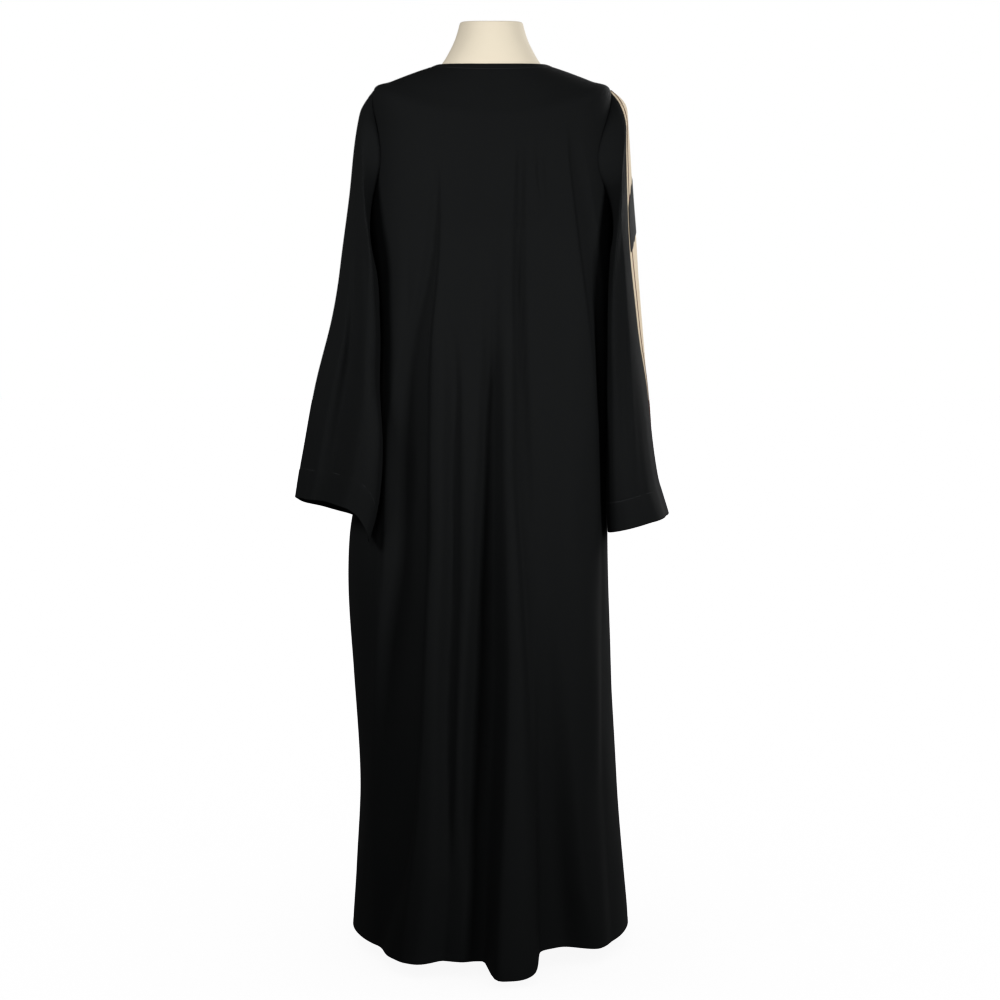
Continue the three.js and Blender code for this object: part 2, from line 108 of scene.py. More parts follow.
class Side(Enum):
    """Which half of the body a panel or a fold is on."""

    BACK = "back"
    FRONT = "front"


class Hand(Enum):
    """Which of the wearer's hands a sleeve is for."""

    LEFT = "left"
    RIGHT = "right"


class BodySection(NamedTuple):
    """A section of the body at a length up the tape, as side points, back middle and front middle."""

    tape: float
    z: float
    left: float
    right: float
    back_z: float
    back: float
    front_z: float
    front: float
    power: float


class SleeveRing(NamedTuple):
    """A ring of a sleeve: its edges, how far it lies behind the shoulder plane, depths and lifts."""

    at: float
    out_x: float
    out_z: float
    in_x: float
    in_z: float
    behind: float
    lean: float
    back: float
    front: float
    rise: float
    arch: float


class FormSection(NamedTuple):
    """A section of the dress form, the same on both sides."""

    z: float
    side: float
    back_z: float
    back: float
    front_z: float
    front: float


class FoldPoint(NamedTuple):
    """A place along a fold of the body: how far it stands out there and its reach to each side."""

    z: float
    x: float
    out: float
    left: float
    right: float


class SleeveFoldPoint(NamedTuple):
    """A place along a fold of a sleeve: its angle, how far it stands out and its reach in degrees."""

    at: float
    angle: float
    out: float
    reach: float


class SeamPoint(NamedTuple):
    """Where a sleeve's front piece meets its back piece over the arm."""

    at: float
    angle: float


class Wave(NamedTuple):
    """A wave round the body: its height, its count, how slowly it winds upwards, and its start."""

    height: float
    count: int
    climb: float
    start: float


BODY_SECTIONS = (
    BodySection(0, HEM_Z, 225, 221, 25, 220, 30, 198, 2.0),
    BodySection(95, 120, 219, 213, 120, 210, 120, 191, 2.1),
    BodySection(230, 255, 212, 202, 255, 198, 255, 184, 2.2),
    BodySection(415, 440, 220, 192, 440, 181, 440, 175, 2.3),
    BodySection(630, 655, 227, 185, 655, 160, 655, 165, 2.5),
    BodySection(785, 810, 195, 186, 810, 146, 810, 157, 2.55),
    BodySection(885, 910, 184, 186, 910, 137, 910, 150, 2.65),
    BodySection(1005, 1030, 181, 189, 1030, 126, 1030, 142, 2.75),
    BodySection(TO_ARMPIT, 1140, 190, 191, 1140, 116, 1140, 136, 2.75),
    BodySection(1205, 1230, 186, 188, 1210, 112, 1186, 136, 2.65),
    BodySection(1270, 1295, 184, 186, 1262, 107, 1221, 131, 2.5),
    BodySection(TO_SHOULDER_TIP, 1360, 184, 186, 1310, 98, 1252, 123, 2.25),
    BodySection(1371, 1372.5, 156, 157, 1331, 90, 1265, 118, 2.05),
    BodySection(1411, 1386.5, 119, 120, 1362, 77, 1284, 110, 2.0),
    BodySection(TO_NECK, 1397, 86, 88, 1393, 63, 1302, 102, 2.0),
)

SLEEVE_RINGS = {
    Hand.LEFT: (
        SleeveRing(0, 186, 1360, 187, 1140, 0, 0, 62, 60, 0, 0),
        SleeveRing(0.06, 199, 1344, 189, 1120, 5, 19, 66, 54, 0, 0),
        SleeveRing(0.12, 208, 1326, 183, 1100, 13, 38, 72, 44, 0, 0),
        SleeveRing(0.2, 217, 1280, 177, 1072, 20, 50, 76, 34, 0, 0),
        SleeveRing(0.32, 225, 1197, 173, 1030, 28, 50, 70, 34, 0, 0),
        SleeveRing(0.45, 236, 1115, 171, 976, 38, 50, 66, 40, 0, 0),
        SleeveRing(0.62, 252, 1004, 172, 898, 54, 46, 62, 44, 2, 0),
        SleeveRing(0.78, 280, 890, 166, 812, 72, 52, 56, 40, 6, 4),
        SleeveRing(0.92, 301, 775, 172, 722, 86, 52, 52, 38, 8, 17),
        SleeveRing(1, 309, 721, 187, 662, 90, 50, 48, 38, 8, 31),
    ),
    Hand.RIGHT: (
        SleeveRing(0, 188, 1360, 190, 1140, 0, 0, 62, 60, 0, 0),
        SleeveRing(0.06, 211, 1345, 191, 1122, 5, 16, 66, 56, 0, 0),
        SleeveRing(0.12, 215, 1328, 185, 1106, 12, 34, 70, 46, 0, 0),
        SleeveRing(0.2, 219, 1280, 183, 1074, 18, 46, 76, 36, 0, 0),
        SleeveRing(0.32, 224, 1197, 181, 1030, 22, 48, 74, 38, 0, 0),
        SleeveRing(0.45, 231, 1115, 180, 976, 24, 48, 74, 44, 0, 0),
        SleeveRing(0.62, 239, 1004, 180, 898, 24, 42, 73, 48, 0, 0),
        SleeveRing(0.78, 249, 890, 181, 812, 25, 38, 70, 50, 0, 0),
        SleeveRing(0.92, 265, 758, 181, 722, 28, 35, 66, 50, 0, 0),
        SleeveRing(1, 283, 692, 183, 669, 28, 33, 64, 50, 0, 1),
    ),
}

FORM_SECTIONS = (
    FormSection(769, 96, 769, 62, 769, 60),
    FormSection(770, 112, 770, 74, 770, 70),
    FormSection(773, 124, 773, 82, 773, 78),
    FormSection(788, 142, 788, 96, 788, 88),
    FormSection(850, 152, 850, 106, 850, 95),
    FormSection(930, 143, 930, 99, 930, 94),
    FormSection(1015, 120, 1015, 82, 1015, 88),
    FormSection(1085, 123, 1085, 82, 1085, 96),
    FormSection(1150, 136, 1150, 90, 1150, 112),
    FormSection(1215, 148, 1205, 95, 1185, 116),
    FormSection(1270, 157, 1250, 95, 1218, 110),
    FormSection(1318, 164, 1285, 92, 1245, 102),
    FormSection(1350, 168, 1312, 87, 1270, 96),
    FormSection(1363, 164, 1331, 82, 1288, 91),
    FormSection(1372.6, 150, 1347, 76, 1305, 86),
    FormSection(1384.4, 116, 1367, 68, 1331, 79),
    FormSection(1394, 84, 1388, 58.5, 1358, 72),
    FormSection(1403, 75, 1400, 56, 1382, 66),
    FormSection(1416, 67, 1416, 54, 1408, 60),
    FormSection(1434, 58, 1433, 51, 1430, 55),
    FormSection(1450, 52.5, 1448, 48, 1450, 51),
    FormSection(1461, 49.5, 1458, 46, 1462, 49),
    FormSection(1463, 47.5, 1460, 44, 1464, 47),
)

OVER_SEAMS = {
    Hand.LEFT: (SeamPoint(0, 0), SeamPoint(0.1, -8), SeamPoint(0.3, -20), SeamPoint(1, -20)),
    Hand.RIGHT: (
        SeamPoint(0, 0),
        SeamPoint(0.05, 12),
        SeamPoint(0.1, 38),
        SeamPoint(0.16, 56),
        SeamPoint(0.3, 62),
        SeamPoint(0.42, 62),
        SeamPoint(0.55, 52),
        SeamPoint(0.68, 38),
        SeamPoint(0.78, 10),
        SeamPoint(0.88, -14),
        SeamPoint(1, -22),
    ),
}


@dataclass(frozen=True)
class BodyFold:
    """A soft ridge or trough of the body, from its top down.

    Args:
        side: the panel it is on.
        drop: how far the hem hangs lower under it.
        points: its course.
    """

    side: Side
    drop: float
    points: tuple[FoldPoint, ...]


@dataclass(frozen=True)
class SleeveFold:
    """A soft ridge or trough along a sleeve."""

    points: tuple[SleeveFoldPoint, ...]


def body_fold(side: Side, drop: float, *rows: tuple[float, float, float, float, float]) -> BodyFold:
    """Makes a fold of the body from its rows of height, place, stand-out and reaches."""
    return BodyFold(side, drop, tuple(FoldPoint(*row) for row in rows))


def sleeve_fold(*rows: tuple[float, float, float, float]) -> SleeveFold:
    """Makes a fold of a sleeve from its rows."""
    return SleeveFold(tuple(SleeveFoldPoint(*row) for row in rows))


# The body's waves climb by height and the sleeves' by the share of their length.
UNEVENNESS = (Wave(0.7, 5, 97, 0), Wave(0.5, 11, -61, 1.3), Wave(0.35, 17, 43, 0.4))
SLEEVE_UNEVENNESS = Wave(0.5, 7, 1 / 19, 0)

# Each row of a fold: height, place to the wearer's right, stand-out, reach to the left and to the right.
BODY_FOLDS = (
    body_fold(
        Side.BACK, 0,
        (1250, -84, 0, 8, 7), (1170, -86, -5, 12, 10), (1100, -90, -9, 16, 12), (1050, -96, -11, 20, 14),
        (985, -106, -14, 26, 18), (900, -116, -19, 32, 24), (820, -122, -25, 36, 30),
        (700, -126, -28, 38, 34), (620, -126, -28, 40, 34), (490, -132, -27, 46, 38),
        (370, -138, -22, 50, 40), (240, -144, -16, 46, 38), (60, -150, -6, 34, 32),
    ),
    body_fold(
        Side.BACK, 2,
        (1080, -76, 0, 10, 12), (985, -80, 4, 14, 16), (820, -83, 9, 16, 21), (660, -82, 12, 16, 22),
        (490, -89, 14, 18, 22), (370, -94, 14, 20, 24), (240, -98, 15, 28, 32), (150, -101, 21, 46, 38),
        (25, -116, 30, 66, 44),
    ),
    body_fold(
        Side.BACK, 0,
        (1000, -58, 0, 8, 8), (900, -56, -6, 12, 11), (820, -58, -8, 13, 12), (620, -60, -9, 14, 13),
        (490, -64, -8, 14, 14), (370, -66, -6, 14, 14), (240, -68, -3, 14, 14), (150, -68, 0, 12, 12),
    ),
    body_fold(
        Side.BACK, 0,
        (960, -42, 0, 8, 8), (820, -38, 3, 10, 10), (620, -36, 4, 11, 10), (490, -42, 4, 11, 10),
        (370, -46, 4, 12, 10), (240, -52, 3, 12, 12), (120, -56, 0, 12, 12),
    ),
    body_fold(
        Side.BACK, 0,
        (1180, 6, 0, 8, 8), (1100, 5, -5, 10, 9), (980, 2, -12, 15, 12), (900, 0, -17, 18, 16),
        (760, -3, -22, 22, 20),
        (620, -5, -27, 26, 23), (490, -7, -31, 33, 28), (370, -13, -32, 34, 34), (240, -14, -26, 33, 33),
        (120, -10, -14, 33, 20), (25, -12, -9, 34, 18),
    ),
    body_fold(
        Side.BACK, 13,
        (1000, 24, 0, 8, 8), (900, 25, 5, 12, 10), (760, 25, 11, 14, 14), (620, 29, 17, 18, 20),
        (490, 32, 20, 20, 26), (370, 31, 23, 24, 34), (200, 25, 32, 33, 54), (25, 18, 48, 31, 70),
    ),
    body_fold(
        Side.BACK, 0,
        (1290, 47, 0, 7, 7), (1230, 45, -5, 9, 9), (1130, 43, -8, 10, 10), (1050, 43, -11, 11, 11),
        (900, 46, -10, 11, 13),
        (740, 50, -4, 12, 16), (620, 54, 0, 12, 14),
    ),
    body_fold(
        Side.BACK, -5,
        (560, 78, 0, 16, 20), (400, 86, -9, 22, 30), (250, 94, -20, 30, 38), (120, 102, -27, 42, 44),
        (25, 110, -31, 54, 58),
    ),
    body_fold(
        Side.BACK, 0,
        (1150, 140, 0, 40, 20), (1000, 146, 8, 60, 22), (800, 146, 10, 66, 24), (600, 150, 9, 66, 24),
        (400, 150, 5, 60, 24), (200, 150, 0, 50, 24),
    ),
    body_fold(
        Side.BACK, 0,
        (1150, -146, 0, 20, 22), (1000, -150, 6, 20, 24), (800, -150, 7, 20, 20), (620, -152, 3, 18, 18),
        (520, -154, 0, 16, 16),
    ),
    body_fold(Side.BACK, 0, (1285, 72, 0, 7, 7), (1225, 76, -4, 9, 9), (1130, 84, 0, 8, 8)),
    body_fold(
        Side.BACK, 0,
        (1310, 122, 0, 9, 9), (1240, 132, -6, 14, 14), (1140, 146, -9, 16, 18), (1050, 154, -8, 16, 20),
        (940, 162, -4, 14, 16), (840, 164, 0, 12, 14),
    ),
    body_fold(Side.BACK, 0, (720, -166, 0, 12, 12), (560, -172, 4, 16, 14), (340, -176, 0, 14, 12)),
    body_fold(
        Side.BACK, 0,
        (720, 132, 0, 26, 24), (450, 142, 4, 36, 28), (150, 156, 5, 36, 28), (25, 164, 5, 34, 28),
    ),
    body_fold(
        Side.FRONT, 0,
        (1130, -96, 0, 17, 17), (900, -103, -6, 22, 22), (600, -111, -12, 30, 30), (300, -119, -15, 34, 34),
        (25, -128, -16, 34, 34),
    ),
    body_fold(
        Side.FRONT, 4,
        (1100, -62, 0, 16, 16), (820, -66, 5, 22, 22), (560, -69, 8, 28, 28), (280, -72, 12, 32, 32),
        (25, -74, 16, 32, 32),
    ),
    body_fold(
        Side.FRONT, 0,
        (1060, -6, 0, 14, 14), (800, -9, -7, 22, 20), (540, -12, -14, 30, 28), (260, -15, -19, 36, 34),
        (25, -18, -22, 36, 34),
    ),
    body_fold(
        Side.FRONT, 5,
        (1110, 54, 0, 18, 18), (860, 52, 5, 24, 24), (560, 50, 9, 32, 34), (280, 48, 13, 36, 38),
        (25, 46, 18, 36, 38),
    ),
    body_fold(
        Side.FRONT, 0,
        (1120, 98, 0, 18, 18), (860, 104, -6, 26, 26), (570, 110, -11, 34, 36), (280, 116, -16, 36, 40),
        (25, 122, -20, 36, 40),
    ),
    body_fold(Side.FRONT, 0, (1020, 20, 0, 10, 10), (860, 22, -4, 14, 14), (640, 20, 0, 14, 14)),
    body_fold(Side.FRONT, 0, (1000, -36, 0, 10, 10), (820, -34, -4, 14, 14), (600, -38, 0, 14, 14)),
    body_fold(Side.FRONT, 0, (1180, 118, 0, 10, 10), (1110, 112, -3.5, 14, 14), (1000, 104, 0, 12, 12)),
    body_fold(Side.FRONT, 0, (1180, -118, 0, 10, 10), (1100, -112, -3.5, 14, 14), (1000, -106, 0, 12, 12)),
)

SLEEVE_FOLDS = {
    Hand.LEFT: (
        sleeve_fold(
            (0.3, 76, 0, 18), (0.5, 88, -11, 24), (0.66, 92, -19, 27), (0.85, 88, -19, 28), (1, 86, -12, 28),
        ),
        sleeve_fold(
            (0.1, 126, 0, 18), (0.3, 128, 4, 22), (0.6, 134, 5, 26), (0.9, 142, 4, 26), (1, 146, 2, 24),
        ),
        sleeve_fold((0.12, 60, 0, 14), (0.22, 68, -3, 18), (0.36, 76, 0, 16)),
        sleeve_fold((0.35, 262, 0, 22), (0.6, 265, -5, 32), (0.85, 268, -6, 34), (1, 270, -6, 34)),
        sleeve_fold((0.15, 300, 0, 16), (0.3, 296, -3, 20), (0.5, 290, 0, 18)),
        sleeve_fold((0.62, 36, 0, 14), (0.8, 34, -3, 18), (1, 30, -4, 20)),
    ),
    Hand.RIGHT: (
        sleeve_fold(
            (0.2, 112, 0, 16), (0.36, 108, -7, 22), (0.6, 104, -9, 24), (0.8, 102, -5, 24), (0.9, 100, 0, 22),
        ),
        sleeve_fold((0.15, 150, 0, 16), (0.35, 149, 4, 22), (0.7, 147, 4, 24), (0.95, 146, 2, 22)),
        sleeve_fold((0.08, 66, 0, 12), (0.16, 74, -3.5, 18), (0.3, 84, 0, 16)),
        sleeve_fold((0.35, 262, 0, 22), (0.6, 265, -6, 32), (0.85, 268, -7, 34), (1, 268, -7, 34)),
        sleeve_fold((0.15, 306, 0, 16), (0.32, 300, -3, 20), (0.5, 294, 0, 18)),
        sleeve_fold((0.7, 58, 0, 16), (0.86, 54, 3, 20), (1, 50, 4, 22)),
    ),
}


def smooth(t: Array | float) -> Array:
    """An S-curve from 0 to 1."""
    t = np.clip(t, 0.0, 1.0)
    return t * t * (3 - 2 * t)


def bump(t: Array) -> Array:
    """A fold's section: 1 along its middle, rounded over the top, and 0 from its edge on."""
    return 0.5 + 0.5 * np.cos(np.pi * np.minimum(1, np.abs(t)) ** FOLD_ROUNDNESS)


def wave_height(wave: Wave, angle: Array, along: Array) -> Array:
    """How far a wave stands out at an angle in degrees and a place along its climb."""
    return wave.height * np.sin(wave.count * np.radians(angle) + along / wave.climb + wave.start)


class Table:
    """Reads the columns of a tuple of rows at any value of its first column, on a cubic through the rows."""

    def __init__(self, rows: Sequence[NamedTuple]) -> None:
        """Keeps the rows as columns of numbers."""
        columns = np.array(rows, float).T
        self.columns = dict(zip(rows[0]._fields, columns))
        self.keys = columns[0]

    def read(self, column: str, at: Array) -> Array:
        """Gives a column's values.

        Args:
            column: the column's name.
            at: values of the first column.

        Returns:
            The column's values there, held level past the ends.
        """
        keys, values = self.keys, self.columns[column]
        last = len(keys) - 1
        index = np.arange(last + 1)
        before, after = np.maximum(index - 1, 0), np.minimum(index + 1, last)
        slopes = (values[after] - values[before]) / (keys[after] - keys[before])
        i = np.clip(np.searchsorted(keys, at, side="left") - 1, 0, last - 1)
        span = keys[i + 1] - keys[i]
        t = np.clip((at - keys[i]) / span, 0, 1)
        rise = (values[i + 1] - values[i]) * t * t * (3 - 2 * t)
        return values[i] + rise + span * t * (1 - t) * ((1 - t) * slopes[i] - t * slopes[i + 1])


def section_points(read: Callable[[str], Array], angle: Array) -> tuple[Array, Array, Array]:
    """Places points on sections.

    Args:
        read: gives a section's column.
        angle: degrees from the wearer's right (0) over the back (90) to the left (180) and the front.

    Returns:
        x, y and z of the points.
    """
    c, s = np.cos(np.radians(angle)), np.sin(np.radians(angle))
    power = 2 / read("power")
    side = np.where(c > 0, read("right"), read("left"))
    x = side * np.sign(c) * np.abs(c) ** power
    y = np.where(s > 0, -read("back"), read("front")) * np.abs(s) ** power
    middle = np.where(s > 0, read("back_z"), read("front_z"))
    side_z = read("z")
    return x, y, side_z + (middle - side_z) * s * s


def cross(a: Array, b: Array) -> Array:
    """The unit vector across two arrays of vectors."""
    out = np.cross(a, b)
    return out / np.maximum(np.linalg.norm(out, axis=-1, keepdims=True), 1e-9)


def unit(a: Array) -> Array:
    """An array of vectors at length 1."""
    return a / np.maximum(np.linalg.norm(a, axis=-1, keepdims=True), 1e-9)


Surface = Callable[[Array, Array], Array]


def surface_normals(surface: Surface, u: Array, v: Array, step_u: float, step_v: float) -> Array:
    """The normals of a surface, from points a small step to each side."""
    along_u = surface(u + step_u, v) - surface(u - step_u, v)
    along_v = surface(u, v + step_v) - surface(u, v - step_v)
    return cross(along_v, along_u)


@dataclass(frozen=True)
class BodyShape:
    """The outer face of the whole body, as a closed surface over tape length and angle."""

    sections: Table
    folds: tuple[BodyFold, ...]

    def fold_sum(self, x: Array, y: Array, z: Array, hem_drop: bool) -> Array:
        """Adds up what the folds do at places: how far they stand out, or how far they drop the hem."""
        total = np.zeros_like(x)
        for fold in self.folds:
            course = np.array(fold.points)[::-1]
            on_side = (y < 0) if fold.side is Side.BACK else (y > 0)
            middle, out, left, right = (np.interp(z, course[:, 0], course[:, k]) for k in range(1, 5))
            offset = x - middle
            reach = np.where(offset > 0, right, left)
            amount = fold.drop if hem_drop else out
            inside = on_side & (z < fold.points[0].z)
            total += np.where(inside, amount * bump(offset / reach), 0.0)
        return total

    def surface(self, tape: Array, angle: Array) -> Array:
        """Places points of the outer face.

        Args:
            tape: lengths up from the hem.
            angle: degrees round from the wearer's right over the back.

        Returns:
            Points in millimetres about the shoulder plane.
        """
        tape, angle = np.broadcast_arrays(np.asarray(tape, float), np.asarray(angle, float))
        read = partial(self.sections.read, at=tape)
        x, y, z = section_points(read, angle)
        reach_x = np.where(x > 0, read("right"), read("left"))
        reach_y = np.where(y < 0, read("back"), read("front"))
        out_x, out_y = x / reach_x, y / reach_y
        length = np.hypot(out_x, out_y)
        off_seam = smooth(np.abs(np.sin(np.radians(angle))) / SIDE_SEAM_CALM)
        hem = np.full_like(x, HEM_Z)
        z = z - self.fold_sum(x, y, hem, True) * off_seam * smooth((DROP_FADE_Z - z) / DROP_FADE_Z)
        push = self.fold_sum(x, y, z, False) * off_seam + self.unevenness(angle, z)
        return np.stack((x + out_x / length * push, y + out_y / length * push, z), axis=-1)

    @staticmethod
    def unevenness(angle: Array, z: Array) -> Array:
        """A slight hand-hung unevenness that dies out at the shoulders."""
        total = sum(wave_height(wave, angle, z) for wave in UNEVENNESS)
        return total * smooth((CALM_ABOVE_Z - z) / CALM_FADE) * smooth(z / HEM_CALM)

    def normals(self, tape: Array, angle: Array) -> Array:
        """The outward normals of the outer face."""
        held = np.clip(tape, 2, TO_NECK - 2)
        return -surface_normals(self.surface, held, angle, 2, 0.6)


def armhole_bite(tape: Array, hand: Hand) -> Array:
    """The angle of a panel's edge from the side seam: zero but for the armhole's bite."""
    k = np.clip((tape - TO_ARMPIT) / (TO_SHOULDER_TIP - TO_ARMPIT), 0, 1)
    return ARMHOLE_BITE[hand.value] * np.maximum(np.sin(np.pi * k), 0) ** BITE_ROUNDNESS


@dataclass(frozen=True)
class SleeveShape:
    """The outer face of a sleeve, over its length and the angle round it."""

    hand: Hand
    rings: Table
    folds: tuple[SleeveFold, ...]
    body: BodyShape

    @property
    def sign(self) -> int:
        """1 on the wearer's right and -1 on the left."""
        return 1 if self.hand is Hand.RIGHT else -1

    def armhole_place(self, angle: Array) -> tuple[Array, Array]:
        """The tape length and body angle of the armhole at a sleeve's angle."""
        turn = np.mod(angle, 360)
        tape = TO_ARMPIT + (TO_SHOULDER_TIP - TO_ARMPIT) * np.abs(180 - turn) / 180
        bite = armhole_bite(tape, self.hand) * np.where(turn <= 180, 1, -1)
        return tape, bite if self.hand is Hand.RIGHT else 180 - bite

    def surface(self, at: Array, angle: Array) -> Array:
        """Places points of the outer face.

        Args:
            at: 0 at the armhole to 1 at the cuff.
            angle: degrees from the outer edge over the back, the underarm and the front.

        Returns:
            Points in millimetres about the shoulder plane.
        """
        at, angle = np.broadcast_arrays(np.asarray(at, float), np.asarray(angle, float))
        read = partial(self.rings.read, at=at)
        c, s = np.cos(np.radians(angle)), np.sin(np.radians(angle))
        depth = np.where(s > 0, read("back"), read("front"))
        half_x = (read("out_x") - read("in_x")) / 2
        half_z = (read("out_z") - read("in_z")) / 2
        push = np.zeros_like(c)
        turn = np.mod(angle, 360)
        for fold in self.folds:
            course = np.array(fold.points)
            offset = turn - np.interp(at, course[:, 0], course[:, 1])
            out = np.interp(at, course[:, 0], course[:, 2], left=0)
            push += out * bump(offset / np.interp(at, course[:, 0], course[:, 3]))
        push += wave_height(SLEEVE_UNEVENNESS, turn, at) * smooth(at / SLEEVE_CALM)
        swell = 1 + push / np.hypot(half_x * c, depth * s)
        arch = read("arch") * (1 - c**4) * (1 - c) / 1.5
        free = np.stack(
            (
                self.sign * ((read("out_x") + read("in_x")) / 2 + half_x * c * swell),
                -(read("behind") - read("lean") * c + depth * s * swell),
                (read("out_z") + read("in_z")) / 2 + half_z * c + read("rise") * s + arch,
            ),
            axis=-1,
        )
        sewn = (1 - smooth(at / ARMHOLE_BLEND))[..., None]
        return free * (1 - sewn) + self.body.surface(*self.armhole_place(angle)) * sewn

    def normals(self, at: Array, angle: Array) -> Array:
        """The outward normals, mitred with the body's along the armhole."""
        at, angle = np.broadcast_arrays(np.asarray(at, float), np.asarray(angle, float))
        held = np.clip(at, MITRE_BLEND, 0.995)
        own = self.sign * surface_normals(self.surface, held, angle, 0.004, 0.8)
        mitre = (1 - smooth(at / MITRE_BLEND))[..., None]
        return unit(own * (1 - mitre) + self.mitre(angle, own) * mitre)

    def mitre(self, angle: Array, own: Array | None = None) -> Array:
        """The direction between the body's and the sleeve's normals along the armhole."""
        tape, body_angle = self.armhole_place(angle)
        if own is None:
            held = np.full_like(tape, MITRE_BLEND)
            own = self.sign * surface_normals(self.surface, held, angle, 0.004, 0.8)
        k = (tape - TO_ARMPIT) / (TO_SHOULDER_TIP - TO_ARMPIT)
        down = np.stack((0 * k, 0 * k, -((1 - k) ** 5)), axis=-1)
        return unit(self.body.normals(tape, body_angle) + own + down)


@dataclass
class ClothGrid:
    """A grid of points with normals, in millimetres about the shoulder plane."""

    points: Array
    normals: Array

    def lengths(self) -> Array:
        """How far each point lies down its column from the first row."""
        steps = np.linalg.norm(np.diff(self.points, axis=0), axis=-1)
        return np.concatenate((np.zeros((1, steps.shape[1])), np.cumsum(steps, axis=0)))

    def widths(self) -> Array:
        """How far each point lies along its row from the first column."""
        steps = np.linalg.norm(np.diff(self.points, axis=1), axis=-1)
        return np.concatenate((np.zeros((steps.shape[0], 1)), np.cumsum(steps, axis=1)), axis=1)

    def from_end(self) -> Array:
        """How far each point lies from the last row."""
        lengths = self.lengths()
        return lengths[-1:] - lengths

    def line(self, distance: float) -> tuple[Array, Array]:
        """The points and normals of a line across the grid at a distance from its last row."""
        away = self.from_end()
        order = slice(None, None, -1)
        spots = []
        for data in (self.points, self.normals):
            columns = [
                [np.interp(distance, away[order, j], data[order, j, k]) for k in range(3)]
                for j in range(data.shape[1])
            ]
            spots.append(np.array(columns))
        return spots[0], unit(spots[1])


def to_model(points: Array) -> Array:
    """Turns millimetres about the shoulder plane into metres in the model's frame."""
    return (points + np.array((0.0, SHOULDER_PLANE_Y, 0.0))) * MM


def make_object(name: str, points: Array, faces: Sequence, uv: Array | None = None) -> bpy.types.Object:
    """Makes a smooth-shaded mesh object.

    Args:
        name: the object's name.
        points: places in metres.
        faces: tuples of point numbers.
        uv: a place on the flat cloth for each point, in metres.

    Returns:
        The object, linked into the scene.
    """
    mesh = bpy.data.meshes.new(name)
    mesh.from_pydata(points.tolist(), [], faces)
    mesh.polygons.foreach_set("use_smooth", np.ones(len(mesh.polygons), bool))
    if uv is not None:
        layer = mesh.uv_layers.new(name="cloth")
        corners = np.empty(len(mesh.loops), int)
        mesh.loops.foreach_get("vertex_index", corners)
        layer.data.foreach_set("uv", uv[corners].astype(np.float32).ravel())
    mesh.update()
    item = bpy.data.objects.new(name, mesh)
    bpy.context.scene.collection.objects.link(item)
    return item


def hem_profile(distance: Array, hem: Hem) -> tuple[Array, Array]:
    """How a turned hem shapes a wall.

    Args:
        distance: how far points lie from the folded edge.
        hem: the hem.

    Returns:
        How far the outer face is raised, and the share of full thickness that the wall has.
    """
    round_over = np.sqrt(np.clip(1 - (1 - np.minimum(distance / EDGE_ROUND, 1)) ** 2, 0, 1))
    raised = hem.raised * smooth((hem.depth - distance) / HEM_RAMP + 0.5)
    groove = hem.drawn * np.exp(-(((distance - hem.depth) / GROOVE_REACH) ** 2))
    return raised - groove, EDGE_SHARE + (1 - EDGE_SHARE) * round_over


def cloth_wall(
    name: str, grid: ClothGrid, turned: bool, first: Hem | None, last: Hem | None,
    thickness: float = CLOTH_THICKNESS, lift: float = 0.0,
) -> bpy.types.Object:
    """Makes a closed thin wall on a grid.

    Args:
        name: the object's name.
        grid: the cloth's outer face.
        turned: whether the grid's columns run the other way round the outside.
        first: the hem along the first row, or None where it is sewn on.
        last: the hem along the last row.
        thickness: the cloth's thickness.
        lift: how far the wall's inner face lies out from the grid.

    Returns:
        The object.
    """
    rows, columns = grid.points.shape[:2]
    raised, share = np.zeros((rows, columns)), np.ones((rows, columns))
    for hem, distance in ((first, grid.lengths()), (last, grid.from_end())):
        if hem:
            more, less = hem_profile(distance, hem)
            raised, share = raised + more, share * less
    middle = lift + thickness / 2 if lift else -thickness / 2
    outer = grid.points + grid.normals * (middle + share * thickness / 2 + raised)[..., None]
    inner = grid.points + grid.normals * (middle - share * thickness / 2)[..., None]
    layers = [layer.reshape(-1, 3) for layer in (outer, inner)]
    flat = np.stack((grid.widths(), grid.lengths()), axis=-1).reshape(-1, 2) * MM
    index = np.arange(rows * columns).reshape(rows, columns)
    a, b, c, d = index[:-1, :-1], index[:-1, 1:], index[1:, 1:], index[1:, :-1]
    quads = np.stack((a, b, c, d), axis=-1).reshape(-1, 4)
    below = rows * columns
    faces = [quads, quads[:, ::-1] + below]
    for edge in (index[0, ::-1], index[-1], index[:, 0], index[::-1, -1]):
        faces.append(np.stack((edge[:-1], edge[1:], edge[1:] + below, edge[:-1] + below), axis=-1))
    joined = np.concatenate(faces)
    if turned:
        joined = joined[:, ::-1]
    return make_object(name, to_model(np.concatenate(layers)), joined.tolist(), np.concatenate((flat, flat)))


def spaced(start: float, end: float, step: float, fine: Sequence[float] = ()) -> Array:
    """Values from start to end at about a step, with some more values among them."""
    count = max(2, round(abs(end - start) / step))
    return np.unique(np.round(np.concatenate((np.linspace(start, end, count + 1), np.array(fine, float))), 6))


def hem_steps(hem: Hem) -> list[float]:
    """Distances from a hem's edge at which a grid needs rows."""
    return [*EDGE_STEPS, *(hem.depth + step for step in GROOVE_STEPS)]


